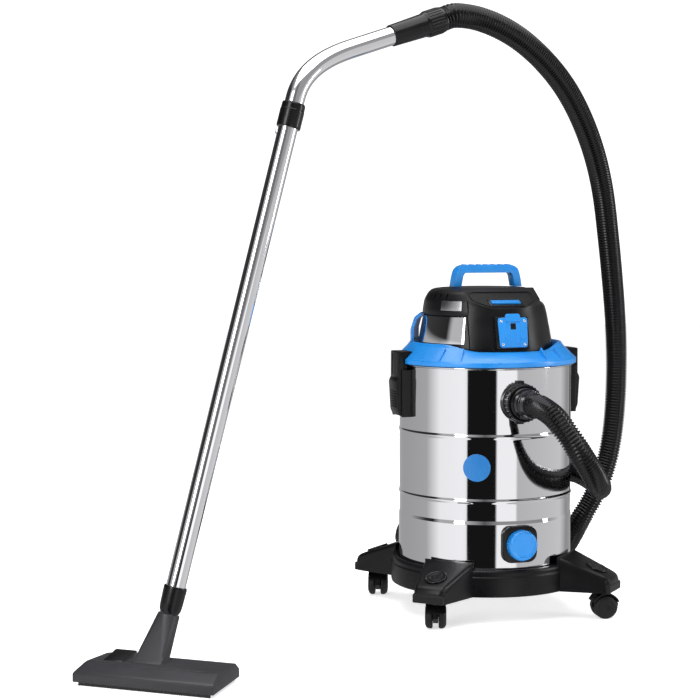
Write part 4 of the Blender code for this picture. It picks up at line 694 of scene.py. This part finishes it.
def switch_and_socket():
    frame_shape = box_shape((-0.034, -0.0105, -0.0055), (0.034, 0.0105, 0.0012), SWITCH, 0.0006)
    well = slab(rectangle(0.0296, 0.0072, 0.004), -0.02, 0.02)
    well.transform(SWITCH @ STOOD)
    piece("switch_surround", tidied(cut(frame_shape, well)), FITTING, "head", "switch_bezel")
    profile = [(-0.0062, -0.0022, 0.0008), (0.0, -0.0052, 0.001), (0.0062, -0.0022, 0.0008), (0.0062, 0.0016, 0.001),
               (0.0, 0.003, 0.003), (-0.0062, 0.0046, 0.001)]
    rocker = slab(profile, -0.029, 0.029, SIDEWAYS, 0.0008)
    rocker.transform(SWITCH)
    piece("rocker_key", tidied(rocker), BLUE, "rocker", "rocker_switch")
    body = box_shape((-0.033, -0.03, -0.032), (0.033, 0.03, 0.006), SOCKET, 0.0008)
    pin_holes = [rod(0.0024, -0.026, -0.01, 20, SOCKET @ moved((x, 0, 0))) for x in (-0.0095, 0.0095)]
    body = cut(body, rod(0.0215, -0.018, 0.02, 48, SOCKET), *pin_holes)
    piece("power_socket", tidied(body), FITTING, "head", "socket_box")
    lid = slab([(0.0295, 0.028, 0.005), (-0.0295, 0.028, 0.005), (-0.0275, -0.028, 0.005), (0.0275, -0.028, 0.005)],
               -0.0106, -0.0065, LAID, 0.0011, 3)
    flutes = [box_shape((x - 0.0009, -0.022, 0.0098), (x + 0.0009, 0.02, 0.0112), None, 0.0005)
              for x in (-0.0165 + 0.011 * k for k in range(4))]
    bump = slab([(0.0145, 0.035, 0.004), (-0.0145, 0.035, 0.004), (-0.0145, 0.02), (0.0145, 0.02)],
                -0.0124, -0.0072, LAID, 0.0012, 3)
    shape = added(bmesh.new(), lid, *flutes, bump)
    shape.transform(SOCKET)
    piece("socket_flap_moulding", tidied(shape), BLUE, "flap", "socket_flap")
    rivet = [(0, 0.0095), (0.0026, 0.0095), (0.0026, 0.0112, 0.0006), (0.0012, 0.0114), (0.001, 0.0108), (0, 0.0108)]
    rivets = [turned(rivet, 20, SOCKET @ moved((x, y, 0)))
              for x, y in ((-0.0235, 0.0215), (0.0235, 0.0215), (-0.022, -0.0225), (0.022, -0.0225))]
    piece("flap_rivets", added(bmesh.new(), *rivets), CHROME, "flap")
    piece("flap_inset", box_shape((-0.0055, 0.006, 0.01), (0.0055, 0.017, 0.0116), SOCKET, 0.0004), FITTING, "flap")


def side_pieces():
    lean = (0.118 - 0.1285) / (0.57 - 0.512)

    def on_side(z, out):
        return 0.1285 + lean * (z - 0.512) + out

    band = [(on_side(0.519, 0.0006), 0.519), (on_side(0.519, 0.0022), 0.519, 0.0003),
            (on_side(0.569, 0.0022), 0.569, 0.0003), (on_side(0.569, 0.0006), 0.569)]
    piece("chrome_side_band", turned(band, 96, sweep=(radians(40.5), radians(166))), CHROME, "head", "chrome_band",
          smooth=50)
    cap = [(0.1212, 0.5715, 0.001), (0.1212, 0.58, 0.002), (0.118, 0.599, 0.004), (0.11, 0.614, 0.005),
           (0.101, 0.62, 0.004), (0.088, 0.6215, 0.002), (0.088, 0.6025), (0.1047, 0.5984), (0.1139, 0.5905),
           (0.1187, 0.5715)]
    side = PANEL_HALF + GAP
    grooves = [box_shape((-0.0016, -0.126, 0.6015), (0.0016, -0.1085, 0.612), turn_z(radians(-62 - 9 * k)))
               for k in range(5)]
    cover = cut(turned(cap, 96, sweep=(radians(36), radians(160))),
                box_shape((-side, -0.2, 0.5), (side, -0.03, 0.7)), *grooves)
    piece("side_cover", tidied(cover), BLACK, "head", "side_cap", smooth=30)
    strip = [(0.12155, 0.581), (0.1227, 0.5812, 0.0003), (0.11955, 0.599, 0.0003), (0.1184, 0.5988)]
    piece("trim_strip", turned(strip, 16, sweep=(radians(44), radians(66))), SATIN, "head", "chrome_strip")


def carry_handle():
    outer = [(0.07, HEAD_TOP_Z + GAP), (0.066, 0.648, 0.01), (0.061, 0.6595, 0.006), (0.05, 0.665, 0.005)]
    inner = [(0.055, HEAD_TOP_Z + GAP), (0.0505, 0.646, 0.003), (0.047, 0.65, 0.002)]
    arch = outer + [(-p[0], *p[1:]) for p in reversed(outer)] + [(-p[0], *p[1:]) for p in inner] + inner[::-1]
    bead = [(0, -0.0118), (0.0046, -0.0118, 0.0015), (0.0046, 0.0118, 0.0015), (0, 0.0118)]
    beads = [turned(bead, 20, moved((-0.0444 + 0.0148 * k, 0, 0.66185)) @ STOOD) for k in range(7)]
    grip = fused(slab(arch, -0.013, 0.013, None, 0.0028, 3), *beads)
    piece("carry_grip", tidied(grip), BLUE, "head", "carry_handle", smooth=36)


def rear_pieces():
    tube = turned([(0.0185, -0.022), (0.0215, -0.022), (0.0215, 0.0105), (0.0255, 0.0105, 0.0006),
                   (0.0255, 0.014, 0.0006), (0.0215, 0.014), (0.0215, 0.02), (0.0223, 0.021), (0.0223, 0.0235),
                   (0.0215, 0.0245), (0.0213, 0.03, 0.0006), (0.0185, 0.03, 0.0006)], 56, PORT)
    piece("blower_spout", tube, FITTING, "head", "blower_port")
    gland = turned([(0, -0.01), (0.0065, -0.01), (0.0065, 0.0095), (0.009, 0.0095, 0.0006), (0.009, 0.0125, 0.0006),
                    (0.0076, 0.0135), (0.0076, 0.0155), (0.0068, 0.0165), (0.0068, 0.0185), (0.0062, 0.0195),
                    (0.0055, 0.025, 0.0006), (0, 0.025)], 28, GLAND)
    piece("cable_boot", gland, RUBBER, "head", "cable_gland")


def filter_pieces():
    """Pleated paper between two rubber end rings."""
    bm = bmesh.new()
    made = bmesh.ops.create_circle(bm, cap_ends=False, segments=176, radius=0.06)
    for k, v in enumerate(made["verts"]):
        v.co *= (0.06 if k % 2 else 0.0475) / v.co.length
        v.co.z = 0.3865
    grown = bmesh.ops.extrude_edge_only(bm, edges=bm.edges[:])
    bmesh.ops.translate(bm, verts=verts_of(grown), vec=(0, 0, 0.097))
    bmesh.ops.solidify(bm, geom=bm.faces[:], thickness=0.0005)
    piece("filter_pleats", tidied(bm), PAPER, "head", "filter_cartridge", smooth=10)
    ends = [turned([(0.0442, low), (0.064, low, 0.0012), (0.064, low + 0.007, 0.0012), (0.0442, low + 0.007)], 72)
            for low in (0.38, 0.483)]
    piece("filter_end_rings", added(bmesh.new(), *ends), RUBBER, "head")


# -------- wand and nozzle
def tube_run(path, outer, inner, sides=48):
    """A tube bent along a path: one end circle is extruded from point to point."""
    bm = bmesh.new()
    shells = []
    for radius in (outer, inner):
        direction = (path[1] - path[0]).normalized()
        ring = bmesh.ops.create_circle(bm, cap_ends=False, segments=sides, radius=radius,
                                       matrix=facing(path[0], direction, (0, 1, 0)))["verts"]
        start_edges = edges = list({e for v in ring for e in v.link_edges})
        for i in range(1, len(path)):
            after = (path[min(i + 1, len(path) - 1)] - path[i - 1]).normalized()
            grown = bmesh.ops.extrude_edge_only(bm, edges=edges)
            ring = verts_of(grown)
            edges = [g for g in grown["geom"] if isinstance(g, bmesh.types.BMEdge)
                     and all(v in set(ring) for v in g.verts)]
            bmesh.ops.translate(bm, verts=ring, vec=path[i] - path[i - 1])
            swing = direction.rotation_difference(after)
            bmesh.ops.rotate(bm, verts=ring, cent=path[i], matrix=swing.to_matrix())
            direction = after
        shells.append((start_edges, edges))
    for k in (0, 1):
        bmesh.ops.bridge_loops(bm, edges=shells[0][k] + shells[1][k])
    return tidied(bm)


def wand_pieces():
    cuff_l = (CUFF_TO - CUFF_FROM).length
    skirt = [(TUBE_R + GAP, 0.0), (0.0222, 0.0, 0.0005), (0.0226, 0.003), (0.0226, 0.035, 0.001),
             (0.0208, 0.0385, 0.002), (0.0205, 0.048), (0.0188, cuff_l, 0.0008), (TUBE_R + GAP, cuff_l)]
    place = facing(CUFF_FROM, CUFF_TO - CUFF_FROM)
    cuff = turned(skirt, 64, place)
    cuff = added(cuff, ribs(26, 0.0224, 0.006, 0.033, 0.0028, 0.0012, place, 0.0006))
    hose_cuff = piece("hose_cuff", cuff, FITTING, "chassis", "hose_end_cuff")
    up_wand = -DOWN_WAND
    corner_a = CUFF_TO - INTO_CUFF * 0.08
    corner_b = WAND_TOP + up_wand * 0.03
    tangent = (corner_b - corner_a).length * 1.05
    path = [CUFF_TO + INTO_CUFF * 0.03, CUFF_TO, corner_a + INTO_CUFF * 0.002, corner_a]
    for k in range(1, 24):
        t = k / 24
        h00, h10 = 2 * t ** 3 - 3 * t ** 2 + 1, t ** 3 - 2 * t ** 2 + t
        h01, h11 = -2 * t ** 3 + 3 * t ** 2, t ** 3 - t ** 2
        path.append(corner_a * h00 - INTO_CUFF * tangent * h10 + corner_b * h01 - up_wand * tangent * h11)
    path += [corner_b, corner_b - up_wand * 0.002, WAND_TOP]
    piece("bent_wand_tube", tube_run(path, TUBE_R, TUBE_R - TUBE_WALL), CHROME, "chassis", "bent_tube", smooth=40)
    place = facing(WAND_TOP, WAND_LOW - WAND_TOP)
    sleeve = turned([(TUBE_R + GAP, -0.0215), (0.019, -0.0215, 0.0008), (0.02, -0.0185, 0.001),
                     (0.02, -0.01, 0.0005), (0.0206, -0.009, 0.0005), (0.0206, 0.019, 0.001),
                     (0.02, 0.0215, 0.0008), (TUBE_R + GAP, 0.0215)], 56, place)
    piece("joint_sleeve", sleeve, FITTING, "chassis", "tube_sleeve")
    straight = tube_run([place @ Vector((0, 0, 0.0004)), WAND_LOW], TUBE_R, TUBE_R - TUBE_WALL)
    piece("straight_wand_tube", straight, CHROME, "chassis", "straight_tube", smooth=40)
    left = Vector((-0.924, 0.381, 0.0))
    left = (left - DOWN_WAND * left.dot(DOWN_WAND)).normalized()
    button_place = facing(WAND_TOP + DOWN_WAND * 0.0315 + left * TUBE_R, left)
    button = turned([(0, -0.006), (0.0052, -0.006), (0.0052, -0.0042), (0.0036, -0.004), (0.0036, 0.0018, 0.0012),
                     (0.002, 0.0032, 0.001), (0, 0.0032)], 24, button_place)
    piece("spring_button", button, ZINC, "tube_button", "tube_button")
    low = facing(WAND_LOW, DOWN_WAND)
    collar = turned([(TUBE_R + GAP, -0.03), (0.0188, -0.03, 0.0008), (0.0197, -0.027, 0.001), (0.019, 0.0, 0.001),
                     (0.018, 0.01, 0.001), (0.015, 0.016, 0.001), (0.011, 0.016), (0.011, 0.0008),
                     (TUBE_R + GAP, 0.0008)], 56, low)
    piece("nozzle_socket", collar, FITTING, "chassis", "nozzle_collar")
    return hose_cuff


NOZZLE = moved((-0.727, -0.385, 0.0)) @ turn_z(radians(-38.4))
NECK_BASE = Vector((-0.018, 0.008, 0.0265))
BARREL = moved(NECK_BASE) @ Matrix.Rotation(pi / 2, 4, "Y")     # the nozzle tips about this barrel
PEDAL_X, PEDAL_Y = -0.076, 0.012
TUFTS = 59


def neck_duct(half_x, half_y, foot_z, radius, past, ease):
    """A loft from a rectangle at the barrel to the round mouth under the socket."""
    mouth = WAND_LOW + DOWN_WAND * 0.0168 - DOWN_WAND * past
    place = NOZZLE @ moved(NECK_BASE)
    bm = bmesh.new()
    rounded_face(bm, rectangle(half_x, half_y, ease))
    bm.transform(place @ moved((0, 0, foot_z)) @ LAID)
    foot_edges = bm.edges[:]
    bmesh.ops.create_circle(bm, cap_ends=True, segments=len(bm.verts), radius=radius,
                            matrix=facing(mouth, -DOWN_WAND, place.to_3x3() @ Vector((0, 1, 0))))
    ring_edges = [e for e in bm.edges if e not in set(foot_edges)]
    bmesh.ops.bridge_loops(bm, edges=foot_edges + ring_edges)
    return tidied(bm)


def neck_pieces():
    neck = neck_duct(0.0262, 0.0165, 0.007, 0.0182, 0.0, 0.004)
    barrel = turned([(0, -0.0265), (0.0185, -0.0265, 0.001), (0.0185, 0.0265, 0.001), (0, 0.0265)], 56,
                    NOZZLE @ BARREL)
    neck = cut(fused(neck, barrel), neck_duct(0.02, 0.0125, -0.024, 0.015, 0.003, 0.003))
    piece("swivel_neck", tidied(neck), NOZZLE_BLACK, "neck", "nozzle_neck", smooth=34)


def nozzle_pieces():
    half_w, half_d = 0.125, 0.0625
    side = [(-half_d, 0.006), (-half_d, 0.0205, 0.0012), (-half_d + 0.004, 0.0235, 0.001), (-0.034, 0.0315, 0.004),
            (-0.026, 0.0335, 0.003), (0.036, 0.0335, 0.003), (half_d - 0.008, 0.03, 0.003), (half_d, 0.02, 0.002),
            (half_d, 0.006)]
    shell = slab(side, -half_w, half_w, SIDEWAYS)
    for v in shell.verts:
        slope_in = 0.006 * max(0.0, (v.co.z - 0.02) / 0.0135)
        plan_in = 0.01 * max(0.0, v.co.y / half_d)
        v.co.x -= (slope_in + plan_in) * (1 if v.co.x > 0 else -1)
    ease_edges(shell, 0.0012, 2, 40)
    # suction mouth, throat, brush slot and pedal well, then the neck's cradle, its room to tip and the parting line
    shell = cut(shell, box_shape((-0.108, -0.044, -0.01), (0.108, -0.014, 0.023)),
                box_shape((-0.04, -0.02, -0.01), (0.004, 0.02, 0.023)),
                box_shape((-0.1183, -0.059, -0.01), (0.1183, -0.053, 0.0195)),
                box_shape((PEDAL_X - 0.0188, PEDAL_Y - 0.0265, 0.0245), (PEDAL_X + 0.0188, PEDAL_Y + 0.0265, 0.06)),
                rod(0.0188, -0.0268, 0.0268, 56, BARREL),
                box_shape((-0.0272, -0.0192, 0.0006), (0.0272, 0.0264, 0.05), moved(NECK_BASE)),
                box_shape((-0.14, -0.066, 0.02), (0.14, -0.0616, 0.0207)))
    low_rib = box_shape((-0.1, -0.031, 0.0318), (0.098, -0.0292, 0.0342), None, 0.0005)
    skids = [box_shape((x - 0.016, 0.046, 0.0003), (x + 0.016, 0.056, 0.009), None, 0.0008)
             for x in (-0.085, 0.085)]
    shell = fused(shell, low_rib, *skids)
    shell.transform(NOZZLE)
    piece("nozzle_shell", tidied(shell), NOZZLE_BLACK, "nozzle", "nozzle_body", smooth=30)
    # tufts side by side, splayed a little at the tip
    tufts = bmesh.new()
    for k in range(TUFTS):
        x = -0.1152 + 0.2304 * k / (TUFTS - 1)
        tuft = bmesh.new()
        bmesh.ops.create_cone(tuft, cap_ends=True, segments=7, radius1=0.0022, radius2=0.0013, depth=0.013)
        tuft.transform(moved((x, -0.056 + 0.0003 * (k % 3 - 1), 0.0067)))
        tufts = added(tufts, tuft)
    tufts.transform(NOZZLE)
    piece("brush_tufts", tufts, BRISTLE, "brush", "brush_strip", smooth=60)
    wedge = [(PEDAL_Y - 0.0255, 0.0295), (PEDAL_Y, 0.0275), (PEDAL_Y + 0.0255, 0.0295),
             (PEDAL_Y + 0.0255, 0.0405, 0.002), (PEDAL_Y + 0.018, 0.043, 0.003), (PEDAL_Y - 0.0255, 0.0345, 0.001)]
    pedal = slab(wedge, PEDAL_X - 0.018, PEDAL_X + 0.018, SIDEWAYS, 0.001)
    pedal.transform(NOZZLE)
    piece("foot_pedal", pedal, FITTING, "pedal", "nozzle_pedal")


# -------- build
drum_shell()
dolly()
for caster_name, (caster_angle, caster_heading) in CASTERS.items():
    foot_disc(caster_name, caster_angle)
    caster(caster_name, caster_angle, caster_heading)
inlet_pieces()
drain_pieces()
latch("left", -1)
latch("right", 1)
lid_ring()
cord_guard()
head_cover()
switch_housing()
switch_and_socket()
side_pieces()
carry_handle()
rear_pieces()
filter_pieces()
hose_cuff = wand_pieces()
neck_pieces()
nozzle_pieces()
for name in ("straight_wand_tube", "bent_wand_tube", "nozzle_socket", "joint_sleeve", "swivel_neck", "nozzle_shell",
             "brush_tufts", "foot_pedal"):
    bpy.data.objects[name].visible_glossy = False      # keeps the wand's streak off the polished drum

# the frame's own pieces that stay
for node_name, finish in {"drain_seal": RUBBER, "lid_seal": RUBBER, "inlet_deflector": BLACK, "float_cage": BLACK,
                          "float_ball": BLUE, "motor_plate": BLACK, "motor": ZINC, "fan_and_shaft": ZINC,
                          "latch_pin_left": ZINC, "latch_pin_right": ZINC}.items():
    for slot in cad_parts[node_name].material_slots:
        slot.material = finish


# -------- floor, studio and light
floor_shape = bmesh.new()
bmesh.ops.create_grid(floor_shape, x_segments=1, y_segments=1, size=9.0)
floor_mesh = as_mesh("floor", floor_shape)
# matt white paper sweep, lit from below as well, so that it shows white with soft shadows
FLOOR, _ = base_finish("white_paper_sweep", Base_Color=tone("#F6F6F6"), Roughness=0.9,
                        Emission_Color=tone("#FFFFFF"), Emission_Strength=0.6)
floor_mesh.materials.append(FLOOR)
floor = linked("floor", floor_mesh)
floor.visible_glossy = False            # the polished drum mirrors the studio, as over a shooting table

studio = bpy.data.worlds.new("studio")
bpy.context.scene.world = studio
studio.use_nodes = True
nodes = studio.node_tree.nodes
background = nodes["Background"]
towards = add(studio, "ShaderNodeTexCoord")
axes = add(studio, "ShaderNodeSeparateXYZ", (), {"Vector": towards.outputs["Generated"]})
bearing = add(studio, "ShaderNodeMath", (), {0: axes.outputs["Y"], 1: axes.outputs["X"]}, operation="ARCTAN2")
# bearing from the camera's side of the studio, as a share of a turn, with the camera at one half
turned_by = add(studio, "ShaderNodeMath", {1: radians(112.43) + pi}, {0: bearing.outputs[0]}, operation="ADD")
share = add(studio, "ShaderNodeMath", {1: 2 * pi}, {0: turned_by.outputs[0]}, operation="DIVIDE")
wrapped = add(studio, "ShaderNodeMath", (), {0: share.outputs[0]}, operation="FRACT")


def panels(stops):
    """Studio panels by bearing: (degrees right of the camera, brightness)."""
    ramp = add(studio, "ShaderNodeValToRGB", (), {"Fac": wrapped.outputs[0]})
    ramp.color_ramp.elements[0].position = 0.0
    ramp.color_ramp.elements[1].position = 1.0
    for degrees_right, level in stops[1:-1]:
        ramp.color_ramp.elements.new(0.5 + degrees_right / 360)
    for element, (degrees_right, level) in zip(ramp.color_ramp.elements, stops):
        element.position = 0.5 + degrees_right / 360
        element.color = (level, level, level * 1.01, 1.0)
    return ramp


low_panels = panels([(-180, 0.42), (-150, 0.34), (-84, 0.42), (-62, 0.95), (-30, 1.0), (-24, 0.95), (-23, 0.008),
                     (15, 0.008), (16, 1.0), (42, 1.0), (44, 0.52), (120, 0.62), (140, 0.28), (180, 0.35)])
high_panels = panels([(-180, 0.12), (-150, 0.05), (-72, 0.02), (-62, 0.45), (-22, 0.45), (0, 0.1), (20, 0.3),
                      (60, 0.3), (130, 0.2), (180, 0.15)])
raised = add(studio, "ShaderNodeMapRange", {"From Min": 0.04, "From Max": 0.12}, {"Value": axes.outputs["Z"]})
mixed = add(studio, "ShaderNodeMixRGB", (), {"Fac": raised.outputs["Result"], "Color1": low_panels.outputs["Color"],
                                             "Color2": high_panels.outputs["Color"]})
overhead = add(studio, "ShaderNodeMapRange", {"From Min": 0.55, "From Max": 0.95}, {"Value": axes.outputs["Z"]})
lit = add(studio, "ShaderNodeMixRGB", {"Color2": (0.55, 0.55, 0.56, 1.0)}, {"Fac": overhead.outputs["Result"],
                                                                         "Color1": mixed.outputs["Color"]})
seen = add(studio, "ShaderNodeLightPath")
plain = add(studio, "ShaderNodeMixRGB", {"Color2": (1.0, 1.0, 1.0, 1.0)}, {"Fac": seen.outputs["Is Camera Ray"],
                                                                          "Color1": lit.outputs["Color"]})
studio.node_tree.links.new(plain.outputs["Color"], background.inputs["Color"])
background.inputs["Strength"].default_value = 1.25


def softbox(name, place, aim_at, width, height, watts):
    data = bpy.data.lights.new(name, "AREA")
    data.shape = "RECTANGLE"
    data.size, data.size_y, data.energy = width, height, watts
    aimed(linked(name, data), AXIS + Vector(place), Vector(aim_at) - Vector(place))


softbox("overhead_softbox", (-0.4, -0.6, 3.2), (-0.2, 0, 0.3), 3.4, 3.4, 110)
softbox("left_softbox", (-2.6, -1.8, 1.5), (0, 0, 0.4), 0.8, 2.0, 40)
softbox("right_strip", (2.4, -1.2, 1.2), (0, 0, 0.5), 0.35, 1.9, 26)
bpy.context.scene.view_settings.view_transform = "Standard"
